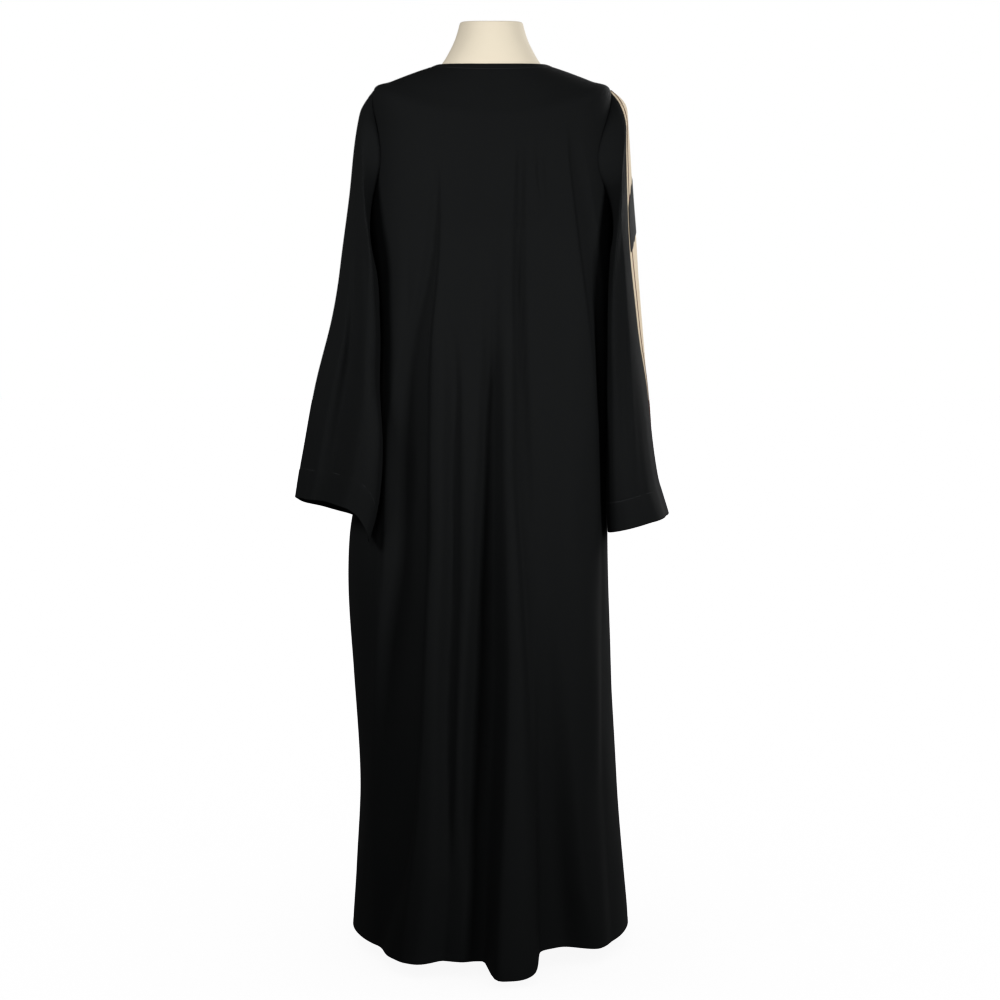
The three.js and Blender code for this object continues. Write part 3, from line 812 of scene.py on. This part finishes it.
class Value:
    """A shader socket that works in Python expressions; each operator adds a Math node."""

    def __init__(self, graph: "Graph", socket: bpy.types.NodeSocket) -> None:
        """Keeps the socket and its graph."""
        self.graph = graph
        self.socket = socket

    def _math(self, operation: str, first: "Value | float", second: "Value | float") -> "Value":
        """Adds a Math node on two operands."""
        node = self.graph.node("ShaderNodeMath", {"operation": operation}, {0: first, 1: second})
        return Value(self.graph, node.outputs[0])

    def __add__(self, other: "Value | float") -> "Value":
        """Adds."""
        return self._math("ADD", self, other)

    __radd__ = __add__

    def __sub__(self, other: "Value | float") -> "Value":
        """Takes away."""
        return self._math("SUBTRACT", self, other)

    def __rsub__(self, other: "Value | float") -> "Value":
        """Takes this away from a number."""
        return self._math("SUBTRACT", other, self)

    def __mul__(self, other: "Value | float") -> "Value":
        """Multiplies."""
        return self._math("MULTIPLY", self, other)

    __rmul__ = __mul__


Input = "Value | float | Sequence[float] | bpy.types.NodeSocket"


class Graph:
    """A material's node tree round one Principled shader."""

    def __init__(self, name: str) -> None:
        """Makes the material with a Principled shader and its output."""
        self.material = bpy.data.materials.new(name)
        self.material.use_nodes = True
        self.tree = self.material.node_tree
        self.tree.nodes.clear()
        self.shader = self.node("ShaderNodeBsdfPrincipled")
        self.node("ShaderNodeOutputMaterial", None, {"Surface": self.shader.outputs[0]})

    def node(self, kind: str, settings: dict | None = None, inputs: dict | None = None) -> bpy.types.Node:
        """Adds a node.

        Args:
            kind: the node's type.
            settings: its properties, set first.
            inputs: values or links of its sockets, by name or number.

        Returns:
            The node.
        """
        node = self.tree.nodes.new(kind)
        for name, value in (settings or {}).items():
            setattr(node, name, value)
        for name, value in (inputs or {}).items():
            self.feed(node.inputs[name], value)
        return node

    def feed(self, socket: bpy.types.NodeSocket, value: Input) -> None:
        """Links a socket, or sets its value."""
        source = value.socket if isinstance(value, Value) else value
        if isinstance(source, bpy.types.NodeSocket):
            self.tree.links.new(source, socket)
        else:
            socket.default_value = source

    def value(
        self, kind: str, output: str | int, settings: dict | None = None, inputs: dict | None = None
    ) -> Value:
        """Adds a node and gives one of its outputs."""
        return Value(self, self.node(kind, settings, inputs).outputs[output])

    def noise(self, place: Value, scale: float, detail: float = 3.0, roughness: float = 0.5) -> Value:
        """Adds a noise texture and gives its factor."""
        inputs = {"Vector": place, "Scale": scale, "Detail": detail, "Roughness": roughness}
        return self.value("ShaderNodeTexNoise", "Fac", None, inputs)

    def mix(self, factor: Value, first: Sequence[float], second: Sequence[float]) -> Value:
        """Mixes two colours."""
        settings = {"data_type": "RGBA"}
        node = self.node("ShaderNodeMix", settings, {"Factor": factor, 6: (*first, 1.0), 7: (*second, 1.0)})
        return Value(self, node.outputs[2])

    def raise_surface(self, height: Value, distance: float) -> None:
        """Feeds the shader's normal from a height."""
        node = self.node("ShaderNodeBump", None, {"Height": height, "Distance": distance, "Strength": 1.0})
        self.surface(Normal=node.outputs[0])

    def surface(self, **values: Input) -> None:
        """Feeds the shader's sockets, with _ for a space in a name."""
        for name, value in values.items():
            self.feed(self.shader.inputs[name.replace("_", " ")], value)

    def constants(self, **values: float | tuple) -> None:
        """Sets the shader's own sockets, with _ for a space in a name."""
        for name, value in values.items():
            self.shader.inputs[name.replace("_", " ")].default_value = value


@dataclass(frozen=True)
class CrepeFinish:
    """A matte crepe cloth with a fine pebbled grain over a plain weave."""

    name: str
    dark: tuple[float, float, float]
    light: tuple[float, float, float]
    roughness: float = 0.82
    sheen: float = 0.0
    specular: float = 0.08
    grain: float = 0.00022

    def build(self) -> bpy.types.Material:
        """Builds the material."""
        graph = Graph(self.name)
        place = graph.value("ShaderNodeTexCoord", "Object")
        flat = graph.value("ShaderNodeUVMap", 0, {"uv_map": "cloth"})
        pebble = graph.noise(place, 900, 2.0, 0.6)
        cloud = graph.noise(place, 9, 4.0)
        warp, weft = (
            graph.value(
                "ShaderNodeTexWave", "Fac", {"bands_direction": direction},
                {"Vector": flat, "Scale": scale, "Distortion": 1.2},
            )
            for direction, scale in (("X", 420), ("Y", 380))
        )
        graph.surface(
            Base_Color=graph.mix(cloud * 0.6 + pebble * 0.4, self.dark, self.light),
            Roughness=cloud * 0.1 + (self.roughness - 0.05),
        )
        graph.raise_surface(pebble * 0.6 + warp * weft * 0.4, self.grain)
        graph.constants(Sheen_Weight=self.sheen, Sheen_Roughness=0.5, Specular_IOR_Level=self.specular)
        return graph.material


@dataclass(frozen=True)
class FormFinish:
    """The dress form's stretched, fine-knit cover."""

    name: str
    dark: tuple[float, float, float]
    light: tuple[float, float, float]

    def build(self) -> bpy.types.Material:
        """Builds the material."""
        graph = Graph(self.name)
        place = graph.value("ShaderNodeTexCoord", "Object")
        cloud = graph.noise(place, 14, 4.0)
        knit = graph.noise(place, 1300, 1.0)
        slub = graph.value(
            "ShaderNodeTexWave", "Fac", {"bands_direction": "Z"},
            {"Vector": place, "Scale": 260, "Distortion": 2.5, "Detail": 2.0},
        )
        graph.surface(
            Base_Color=graph.mix(cloud * 0.8 + knit * 0.2, self.dark, self.light),
            Roughness=cloud * 0.1 + 0.8,
        )
        graph.raise_surface(knit * 0.5 + slub * 0.5, 0.00018)
        graph.constants(Sheen_Weight=0.08, Specular_IOR_Level=0.3)
        return graph.material


@dataclass(frozen=True)
class ThreadFinish:
    """Sewing thread, with the twist of its strands."""

    name: str
    color: tuple[float, float, float]

    def build(self) -> bpy.types.Material:
        """Builds the material."""
        graph = Graph(self.name)
        place = graph.value("ShaderNodeTexCoord", "Object")
        twist = graph.noise(place, 2200, 1.0)
        darker = tuple(0.7 * part for part in self.color)
        graph.surface(Base_Color=graph.mix(twist, darker, self.color), Roughness=twist * 0.2 + 0.5)
        graph.raise_surface(twist, 0.0001)
        return graph.material


@dataclass(frozen=True)
class MetalFinish:
    """Satin powder coat over steel, with a faint orange-peel surface."""

    name: str
    dark: tuple[float, float, float]
    light: tuple[float, float, float]

    def build(self) -> bpy.types.Material:
        """Builds the material."""
        graph = Graph(self.name)
        place = graph.value("ShaderNodeTexCoord", "Object")
        peel = graph.noise(place, 700, 2.0)
        wear = graph.noise(place, 30, 5.0)
        graph.surface(Base_Color=graph.mix(wear, self.dark, self.light), Roughness=wear * 0.2 + 0.32)
        graph.raise_surface(peel, 0.0001)
        return graph.material


@dataclass(frozen=True)
class FloorFinish:
    """A plain pale studio floor."""

    name: str
    color: tuple[float, float, float]

    def build(self) -> bpy.types.Material:
        """Builds the material."""
        graph = Graph(self.name)
        place = graph.value("ShaderNodeTexCoord", "Object")
        cloud = graph.noise(place, 3, 3.0)
        paler = tuple(min(1.0, 1.02 * part) for part in self.color)
        graph.surface(Base_Color=graph.mix(cloud, self.color, paler))
        graph.constants(Roughness=0.75, Specular_IOR_Level=0.2)
        return graph.material


@dataclass
class Palette:
    """Every material of the scene, built once."""

    black: bpy.types.Material
    pale: bpy.types.Material
    cover: bpy.types.Material
    black_thread: bpy.types.Material
    rust_thread: bpy.types.Material
    metal: bpy.types.Material
    floor: bpy.types.Material

    @staticmethod
    def build() -> "Palette":
        """Builds the materials."""
        return Palette(
            black=CrepeFinish("black_crepe", (0.0030, 0.0034, 0.0036), (0.0044, 0.0049, 0.0051)).build(),
            pale=CrepeFinish("pale_crepe", (0.58, 0.47, 0.33), (0.68, 0.58, 0.43), 0.8, 0.1).build(),
            cover=FormFinish("form_cover", (0.66, 0.585, 0.455), (0.72, 0.645, 0.51)).build(),
            black_thread=ThreadFinish("black_thread", (0.016, 0.017, 0.018)).build(),
            rust_thread=ThreadFinish("rust_thread", (0.10, 0.028, 0.012)).build(),
            metal=MetalFinish("stand_metal", (0.022, 0.022, 0.024), (0.034, 0.034, 0.036)).build(),
            floor=FloorFinish("studio_floor", (0.86, 0.86, 0.855)).build(),
        )


def dress(item: bpy.types.Object, material: bpy.types.Material) -> bpy.types.Object:
    """Gives a piece its material and its body."""
    item.data.materials.append(material)
    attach(item, BODY)
    log.info("%s: %d faces", item.name, len(item.data.polygons))
    return item


def sample(data: Array, run: Array, where: Array) -> Array:
    """Points on a line at lengths along it."""
    return np.stack([np.interp(where, run, data[:, k]) for k in range(3)], axis=-1)


def spokes(normal: Array, side: Array, count: int) -> Array:
    """Directions round each of several places, from the normal towards the side."""
    turns = 2 * np.pi * np.arange(count)[None, :, None] / count
    return np.cos(turns) * normal[:, None] + np.sin(turns) * side[:, None]


def round_faces(index: Array) -> Array:
    """The quads of a wall that closes round on itself, from its rows of point numbers."""
    after = np.roll(index, -1, axis=1)
    return np.stack((index[:-1], after[:-1], after[1:], index[1:]), axis=-1).reshape(-1, 4)


# A stitch's places along its length and how full it is there.
STITCH_FULLEST = 1.1
STITCH_PROFILE = ((-0.5, 0.35), (-0.3, 0.95), (0.0, STITCH_FULLEST), (0.3, 0.95), (0.5, 0.35))


@dataclass(frozen=True)
class StitchMaker:
    """Makes rows of small thread stitches along lines on the cloth."""

    length: float = 2.6
    pitch: float = 3.4
    radius: float = 0.26
    sides: int = 6

    def along(self, line: Array, normals: Array, lift: float) -> tuple[Array, Array]:
        """Places stitches on a line.

        Args:
            line: points in millimetres.
            normals: the cloth's normals there.
            lift: how far the stitches' middles lie out from the line.

        Returns:
            The stitches' points and their faces.
        """
        steps = np.linalg.norm(np.diff(line, axis=0), axis=1)
        run = np.concatenate(((0.0,), np.cumsum(steps)))
        count = max(1, int(run[-1] // self.pitch))
        middles = (np.arange(count) + 0.5) * run[-1] / count
        centre = sample(line, run, middles)
        ahead = sample(line, run, np.minimum(middles + self.length / 2, run[-1]))
        behind = sample(line, run, np.maximum(middles - self.length / 2, 0))
        tangent = unit(ahead - behind)
        normal = unit(sample(normals, run, middles))
        side = cross(tangent, normal)
        centre = centre + normal * lift
        spoke = spokes(normal, side, self.sides)
        rings = []
        for along, size in STITCH_PROFILE:
            sink = self.radius * (STITCH_FULLEST - size)
            base = centre + tangent * self.length * along - normal * sink
            rings.append(base[:, None] + spoke * self.radius * size)
        points = np.stack(rings, axis=1)
        faces = self._faces(len(STITCH_PROFILE))
        offsets = np.arange(count)[:, None, None] * len(STITCH_PROFILE) * self.sides
        return points.reshape(-1, 3), (faces[None] + offsets).reshape(-1, 4)

    def _faces(self, rings: int) -> Array:
        """The faces of one stitch, with its round ends closed by pairs of quads."""
        sides = self.sides
        index = np.arange(rings * sides).reshape(rings, sides)
        ends = []
        for ring, turned in ((index[0], True), (index[-1], False)):
            for a, b, c, d in ((0, 1, 2, 3), (0, 3, 4, 5)):
                quad = [ring[a], ring[b], ring[c], ring[d]]
                ends.append(quad[::-1] if turned else quad)
        return np.concatenate((round_faces(index), np.array(ends)))

    def make(self, name: str, line: Array, normals: Array, lift: float) -> bpy.types.Object:
        """Makes one object of the stitches along a line."""
        points, faces = self.along(line, normals, lift)
        return make_object(name, to_model(points), faces.tolist())


def cord_along(
    name: str, line: Array, normals: Array, radius: float, lift: float, sides: int = 8
) -> bpy.types.Object:
    """Makes a closed round cord along a line.

    Args:
        name: the object's name.
        line: points in millimetres.
        normals: the cloth's normals there.
        radius: the cord's radius.
        lift: how far its middle lies out from the line.
        sides: its number of sides.

    Returns:
        The object.
    """
    tangent = unit(np.gradient(line, axis=0))
    normal = unit(normals)
    side = cross(tangent, normal)
    middle = line + normal * lift
    points = (middle[:, None] + spokes(normal, side, sides) * radius).reshape(-1, 3)
    index = np.arange(len(line) * sides).reshape(-1, sides)
    faces = round_faces(index).tolist() + [index[0][::-1].tolist(), index[-1].tolist()]
    return make_object(name, to_model(points), faces)


class PiecePlan(NamedTuple):
    """How a piece of cloth is made: its object, the solid it covers, its slot, its facing and its hems."""

    key: str
    name: str
    node: str
    slot: str
    turned: bool
    first: Hem | None
    last: Hem


PIECE_PLANS = (
    PiecePlan("back", "abaya_back", "back_panel", "black_cloth", True, BOTTOM_HEM, NECK_HEM),
    PiecePlan("front", "abaya_front", "front_panel", "black_cloth", False, BOTTOM_HEM, NECK_HEM),
    PiecePlan(
        "left_back", "abaya_sleeve_left_back", "sleeve_left_back", "black_cloth", True, None, CUFF_HEM,
    ),
    PiecePlan(
        "left_front", "abaya_sleeve_left_front", "sleeve_left_front", "black_cloth", True, None, CUFF_HEM,
    ),
    PiecePlan(
        "right_back", "abaya_sleeve_right_back", "sleeve_right_back", "black_cloth", False, None, CUFF_HEM,
    ),
    PiecePlan(
        "right_front", "abaya_sleeve_right_front", "sleeve_right_front", "pale_cloth", False, None, CUFF_HEM,
    ),
)


@dataclass(frozen=True)
class Band:
    """The scalloped band's sizes: shares of the sleeve at its front and back end, and angles in degrees."""

    start: tuple[float, float] = (0.288, 0.268)
    end: tuple[float, float] = (0.405, 0.417)
    from_seams: tuple[float, float] = (1.2, 3.0)
    scallops: int = 13
    scallop_steps: int = 14
    scallop_depth: float = 0.007
    rows: int = 26
    thickness: float = 0.7
    lift: float = 0.35


@dataclass
class Garment:
    """The abaya: panels, sleeves, band, seams and stitches."""

    palette: Palette
    row_step: float = 7.0
    armhole_step: float = 4.9
    shoulder_step: float = 4.2
    neck_slant: float = 1.6
    back_columns: int = 150
    front_columns: int = 120
    sleeve_rows: int = 120
    sleeve_columns: int = 64
    seam_dip: float = 0.5
    seam_reach: float = 2.2
    stitch_lift: float = -0.3
    cord_radius: float = 0.7
    stitches: StitchMaker = StitchMaker()
    band: Band = Band()

    def __post_init__(self) -> None:
        """Works out the shapes that the pieces are cut from."""
        self.body = BodyShape(Table(BODY_SECTIONS), BODY_FOLDS)
        self.sleeve_shapes = {
            hand: SleeveShape(hand, Table(SLEEVE_RINGS[hand]), SLEEVE_FOLDS[hand], self.body) for hand in Hand
        }
        self.over_seams = {hand: Table(OVER_SEAMS[hand]) for hand in Hand}

    def panel_grid(self, side: Side, columns: int) -> ClothGrid:
        """Cuts a panel out of the body's surface, from the hem up."""
        neck = [TO_NECK - self.neck_slant * step for step in hem_steps(NECK_HEM)]
        tapes = np.unique(np.concatenate((
            spaced(0, TO_ARMPIT, self.row_step, hem_steps(BOTTOM_HEM)),
            spaced(TO_ARMPIT, TO_SHOULDER_TIP, self.armhole_step),
            spaced(TO_SHOULDER_TIP, TO_NECK, self.shoulder_step, neck),
        )))
        right, left = armhole_bite(tapes, Hand.RIGHT), 180 - armhole_bite(tapes, Hand.LEFT)
        share = np.linspace(0, 1, columns + 1)
        angle = right[:, None] + (left - right)[:, None] * share
        turn = 1 if side is Side.BACK else -1
        tape = np.broadcast_to(tapes[:, None], angle.shape)
        points = self.body.surface(tape, turn * angle)
        normals = self.body.normals(tape, turn * angle)
        on_armhole = (tapes >= TO_ARMPIT) & (tapes <= TO_SHOULDER_TIP)
        sleeve_angle = 180 * (1 - (tapes[on_armhole] - TO_ARMPIT) / (TO_SHOULDER_TIP - TO_ARMPIT))
        for hand, column in ((Hand.RIGHT, 0), (Hand.LEFT, -1)):
            normals[on_armhole, column] = self.sleeve_shapes[hand].mitre(turn * sleeve_angle)
        grid = ClothGrid(points, normals)
        self.sink_seams(grid, first_row=False)
        return grid

    def sink_seams(self, grid: ClothGrid, first_row: bool) -> None:
        """Draws a grid's sewn edges a little together and lets the cloth dip beside them."""
        points = grid.points
        widths = grid.widths()
        dip = np.exp(-((widths / self.seam_reach) ** 2))
        dip += np.exp(-(((widths[:, -1:] - widths) / self.seam_reach) ** 2))
        moves = [
            (np.s_[:, 0], unit(points[:, 1] - points[:, 0])),
            (np.s_[:, -1], unit(points[:, -2] - points[:, -1])),
        ]
        if first_row:
            dip += np.exp(-((grid.lengths() / self.seam_reach) ** 2))
            moves.append((np.s_[0], unit(points[1] - points[0])))
        for where, direction in moves:
            points[where] = points[where] + direction * SEAM_GAP / 2
        grid.points = points - grid.normals * (self.seam_dip * dip)[..., None]

    def sleeve_grid(self, hand: Hand, side: Side) -> ClothGrid:
        """Cuts a sleeve piece between the seams over and under the arm, from the armhole to the cuff."""
        shape = self.sleeve_shapes[hand]
        fine = [1 - step / SLEEVE_LENGTH for step in hem_steps(CUFF_HEM)]
        at = spaced(0, 1, 1 / self.sleeve_rows, [0.002, 0.004, *fine])
        over, under = self.over_seams[hand].read("angle", at), self.under_seam(at)
        start, end = (over, under) if side is Side.BACK else (under, 360 + over)
        angle = start[:, None] + (end - start)[:, None] * np.linspace(0, 1, self.sleeve_columns + 1)
        rows = np.broadcast_to(at[:, None], angle.shape)
        grid = ClothGrid(shape.surface(rows, angle), shape.normals(rows, angle))
        self.sink_seams(grid, first_row=True)
        return grid

    def band_grid(self) -> ClothGrid:
        """The scalloped band, on the pale piece's own surface."""
        shape = self.sleeve_shapes[Hand.RIGHT]
        band = self.band
        share = np.linspace(0, 1, band.scallops * band.scallop_steps + 1)
        wave = band.scallop_depth * np.abs(np.sin(np.pi * share * band.scallops)) ** 0.7
        start = band.start[0] + (band.start[1] - band.start[0]) * share - wave
        end = band.end[0] + (band.end[1] - band.end[0]) * share + wave
        at = start + (end - start) * np.linspace(0, 1, band.rows)[:, None]
        first = self.over_seams[Hand.RIGHT].read("angle", at) - band.from_seams[0]
        last = self.under_seam(at) - 360 + band.from_seams[1]
        angle = first + (last - first) * share
        return ClothGrid(shape.surface(at, angle), shape.normals(at, angle))

    @staticmethod
    def under_seam(at: Array) -> Array:
        """The angle of the seam under the arm."""
        return 180 + UNDER_SEAM_TURN * smooth(at / UNDER_SEAM_TURNED)

    @staticmethod
    def declare(item: bpy.types.Object, grid: ClothGrid, form: bpy.types.Object, with_pieces: list) -> None:
        """Does nothing: the flat cut of a piece of cloth is not stated here."""

    def build(self, form: bpy.types.Object) -> None:
        """Builds and dresses every piece.

        Args:
            form: the dress form that the cloth hangs on; not used.
        """
        grids = {
            "back": self.panel_grid(Side.BACK, self.back_columns),
            "front": self.panel_grid(Side.FRONT, self.front_columns),
            "left_back": self.sleeve_grid(Hand.LEFT, Side.BACK),
            "left_front": self.sleeve_grid(Hand.LEFT, Side.FRONT),
            "right_back": self.sleeve_grid(Hand.RIGHT, Side.BACK),
            "right_front": self.sleeve_grid(Hand.RIGHT, Side.FRONT),
        }
        pieces = {}
        for plan in PIECE_PLANS:
            item = cloth_wall(plan.name, grids[plan.key], plan.turned, plan.first, plan.last)
            is_pale = plan.slot == "pale_cloth"
            dress(item, self.palette.pale if is_pale else self.palette.black)
            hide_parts(plan.node)
            pieces[plan.key] = item
        band = cloth_wall(
            "abaya_sleeve_band", self.band_grid(), True, RAW_EDGE, RAW_EDGE,
            self.band.thickness, self.band.lift,
        )
        dress(band, self.palette.black)
        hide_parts("sleeve_right_band")
        stitch_rows = {key: self.hem_stitches(key, grid) for key, grid in grids.items()}
        piping = self.seam_piping(grids["right_front"])
        for key, item in pieces.items():
            more = [stitch_rows[key]] + ([band, piping] if key == "right_front" else [])
            self.declare(item, grids[key], form, more)

    def hem_stitches(self, key: str, grid: ClothGrid) -> bpy.types.Object:
        """Stitches the neck or cuff hem of a piece; the bottom hem is sewn blind."""
        hem = NECK_HEM if key in ("back", "front") else CUFF_HEM
        item = self.stitches.make(f"abaya_stitches_{key}", *grid.line(hem.depth), self.stitch_lift)
        return dress(item, self.palette.black_thread)

    def seam_piping(self, grid: ClothGrid) -> bpy.types.Object:
        """Lays a fine rust cord along the seam between the pale and the black piece."""
        line, normals = grid.points[2:-2, -3], grid.normals[2:-2, -3]
        item = cord_along("abaya_seam_cord", line, normals, self.cord_radius, self.cord_radius / 2)
        return dress(item, self.palette.rust_thread)


@dataclass
class DressForm:
    """The limbless form under the garment."""

    palette: Palette
    columns: int = 120
    rows: int = 150

    def build(self) -> bpy.types.Object:
        """Builds the form as one closed smooth body."""
        rows = [BodySection(i, s.z, s.side, s.side, *s[2:], 2.0) for i, s in enumerate(FORM_SECTIONS)]
        sections = Table(rows)
        number = np.linspace(0, len(FORM_SECTIONS) - 1, self.rows)[:, None]
        angle = -np.linspace(0, 360, self.columns, endpoint=False)[None]
        number, angle = np.broadcast_arrays(number, angle)
        points = np.stack(section_points(partial(sections.read, at=number), angle), axis=-1)
        index = np.arange(number.size).reshape(number.shape)
        faces = round_faces(index).tolist()
        flat_points = points.reshape(-1, 3)
        caps = np.stack((points[0].mean(axis=0), points[-1].mean(axis=0)))
        low, high = len(flat_points), len(flat_points) + 1
        faces += [(low, int(b), int(a)) for a, b in zip(index[0], np.roll(index[0], -1))]
        faces += [(high, int(a), int(b)) for a, b in zip(index[-1], np.roll(index[-1], -1))]
        item = make_object("form_body", to_model(np.concatenate((flat_points, caps))), faces)
        dress(item, self.palette.cover)
        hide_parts("dress_form")
        return item


@dataclass
class Stand:
    """The round base and the pole."""

    palette: Palette
    base_radius: float = 130.0
    base_height: float = 13.0
    edge: float = 5.0
    boss_radius: float = 30.0
    boss_height: float = 26.0
    pole_radius: float = 15.0
    pole_bottom: float = 26.3
    pole_top: float = 768.7
    segments: int = 96

    def turned(self, name: str, profile: Sequence[tuple[float, float]]) -> bpy.types.Object:
        """Turns a profile of radius and height round the stand's axis."""
        turns = 2 * np.pi * np.arange(self.segments) / self.segments
        points = np.array([[(r * math.cos(t), r * math.sin(t), z) for t in turns] for r, z in profile])
        index = np.arange(points.shape[0] * self.segments).reshape(-1, self.segments)
        faces = round_faces(index).tolist() + [index[0][::-1].tolist(), index[-1].tolist()]
        item = make_object(name, points.reshape(-1, 3) * MM, faces)
        item.data.set_sharp_from_angle(angle=math.radians(40))
        return item

    def build(self) -> None:
        """Builds and dresses the base and the pole."""
        quarter = np.linspace(0, math.pi / 2, 7)
        rim_radius, rim_z = self.base_radius - self.edge, self.base_height - 1 - self.edge
        rim = [(rim_radius + self.edge * math.cos(t), rim_z + self.edge * math.sin(t)) for t in quarter]
        base = self.turned("stand_foot", [
            (self.base_radius - 2.5, 0), (self.base_radius, 2.5), *rim,
            (self.boss_radius + self.edge, self.base_height),
            (self.boss_radius + 1.5, self.base_height + 1.5),
            (self.boss_radius, self.base_height + self.edge), (self.boss_radius - 2, self.boss_height - 1.5),
            (self.boss_radius - 3.5, self.boss_height),
        ])
        pole = self.turned("stand_tube", [
            (self.pole_radius, self.pole_bottom), (self.pole_radius, self.pole_top),
        ])
        for item, node in ((base, "stand_base"), (pole, "stand_pole")):
            dress(item, self.palette.metal)
            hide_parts(node)


class Softbox(NamedTuple):
    """A softbox: its place and target, its side in metres, its spread in degrees and its power in watts."""

    name: str
    place: tuple[float, float, float]
    target: tuple[float, float, float]
    size: float
    spread: float
    power: float


SOFTBOXES = (
    Softbox("key", (1.6, -1.6, 1.4), (0.0, -0.1, 0.85), 0.5, 100, 12.5),
    Softbox("fill", (-0.5, -2.3, 1.7), (-0.1, -0.1, 0.95), 0.6, 90, 4),
    Softbox("left_fill", (-1.2, -1.2, 1.7), (-0.2, -0.1, 1.1), 0.5, 70, 3.3),
    Softbox("front_light", (1.8, 2.2, 2.1), (0, 0, 1.0), 1.6, 140, 38),
)


@dataclass
class Studio:
    """The floor, the light and the camera."""

    palette: Palette
    distance: float = 3200.0
    camera_z: float = 1013.0
    target_z: float = 713.0
    centre_x: float = 13.6
    frame_width: float = 1600.0
    backdrop: float = 1.0
    ambient: float = 0.1
    floor_wash: float = 4.0
    floor_reach: float = 20.0

    def floor(self) -> bpy.types.Object:
        """Lays a wide pale floor that shows as plain backdrop but for the shadow on it."""
        half = self.floor_reach
        corners = np.array([(-half, -half, 0), (half, -half, 0), (half, half, 0), (-half, half, 0)])
        item = make_object("floor", corners, [(0, 1, 2, 3)])
        item.data.materials.append(self.palette.floor)
        item.is_shadow_catcher = True
        item.visible_diffuse = False
        item.visible_glossy = False
        return item

    @staticmethod
    def light(name: str, kind: str, place: tuple, target: tuple, power: float) -> bpy.types.Object:
        """Adds a light.

        Args:
            name: the light's name.
            kind: AREA for a softbox or SUN for a wash of even light.
            place: where it stands, in metres.
            target: what it faces.
            power: in watts, or in watts a square metre for a sun.

        Returns:
            The light.
        """
        data = bpy.data.lights.new(name, kind)
        data.energy = power
        item = bpy.data.objects.new(name, data)
        item.location = place
        item.rotation_euler = (Vector(target) - Vector(place)).to_track_quat("-Z", "Y").to_euler()
        bpy.context.scene.collection.objects.link(item)
        return item

    def softbox(self, box: Softbox) -> bpy.types.Object:
        """Adds a square softbox."""
        item = self.light(box.name, "AREA", box.place, box.target, box.power)
        item.data.shape = "SQUARE"
        item.data.size = box.size
        item.data.spread = math.radians(box.spread)
        return item

    @staticmethod
    def link_light(lamp: bpy.types.Object, floor: bpy.types.Object, state: str) -> None:
        """Lets a light fall on nothing but the floor, or on all but the floor."""
        receivers = bpy.data.collections.new(f"{lamp.name}_falls_on")
        receivers.objects.link(floor)
        receivers.collection_objects[0].light_linking.link_state = state
        lamp.light_linking.receiver_collection = receivers

    def world(self, strength: float) -> None:
        """Surrounds the scene with plain white light."""
        world = bpy.data.worlds.new("studio")
        world.use_nodes = True
        tree = world.node_tree
        background = tree.nodes["Background"]
        background.inputs["Color"].default_value = (1.0, 1.0, 1.0, 1.0)
        path = tree.nodes.new("ShaderNodeLightPath")
        seen = tree.nodes.new("ShaderNodeMapRange")
        seen.inputs["To Min"].default_value = strength
        seen.inputs["To Max"].default_value = self.backdrop
        tree.links.new(path.outputs["Is Camera Ray"], seen.inputs["Value"])
        tree.links.new(seen.outputs["Result"], background.inputs["Strength"])
        bpy.context.scene.world = world

    def camera(self) -> None:
        """Places the camera at the photograph's height and distance."""
        data = bpy.data.cameras.new("camera")
        reach = math.hypot(self.distance, self.camera_z - self.target_z)
        data.sensor_width = 36.0
        data.lens = data.sensor_width * reach / self.frame_width
        item = bpy.data.objects.new("camera", data)
        item.location = (self.centre_x * MM, (SHOULDER_PLANE_Y - self.distance) * MM, self.camera_z * MM)
        pitch = math.atan2(self.camera_z - self.target_z, self.distance)
        item.rotation_euler = (math.pi / 2 - pitch, 0.0, 0.0)
        bpy.context.scene.collection.objects.link(item)
        bpy.context.scene.camera = item

    def build(self) -> None:
        """Builds the studio."""
        floor = self.floor()
        self.world(self.ambient)
        for box in SOFTBOXES:
            self.link_light(self.softbox(box), floor, "EXCLUDE")
        wash = self.light("floor_wash", "SUN", (0, 0, 4), (0, 0, 0), self.floor_wash)
        wash.data.use_shadow = False
        self.link_light(wash, floor, "INCLUDE")
        self.camera()
        bpy.context.scene.view_settings.view_transform = "Standard"


def main() -> None:
    """Builds the dress form, its stand, the garment and the studio."""
    logging.basicConfig(level=logging.INFO, format="%(name)s: %(message)s")
    palette = Palette.build()
    form = DressForm(palette).build()
    Stand(palette).build()
    Garment(palette).build(form)
    Studio(palette).build()


if __name__ == "__main__":
    main()
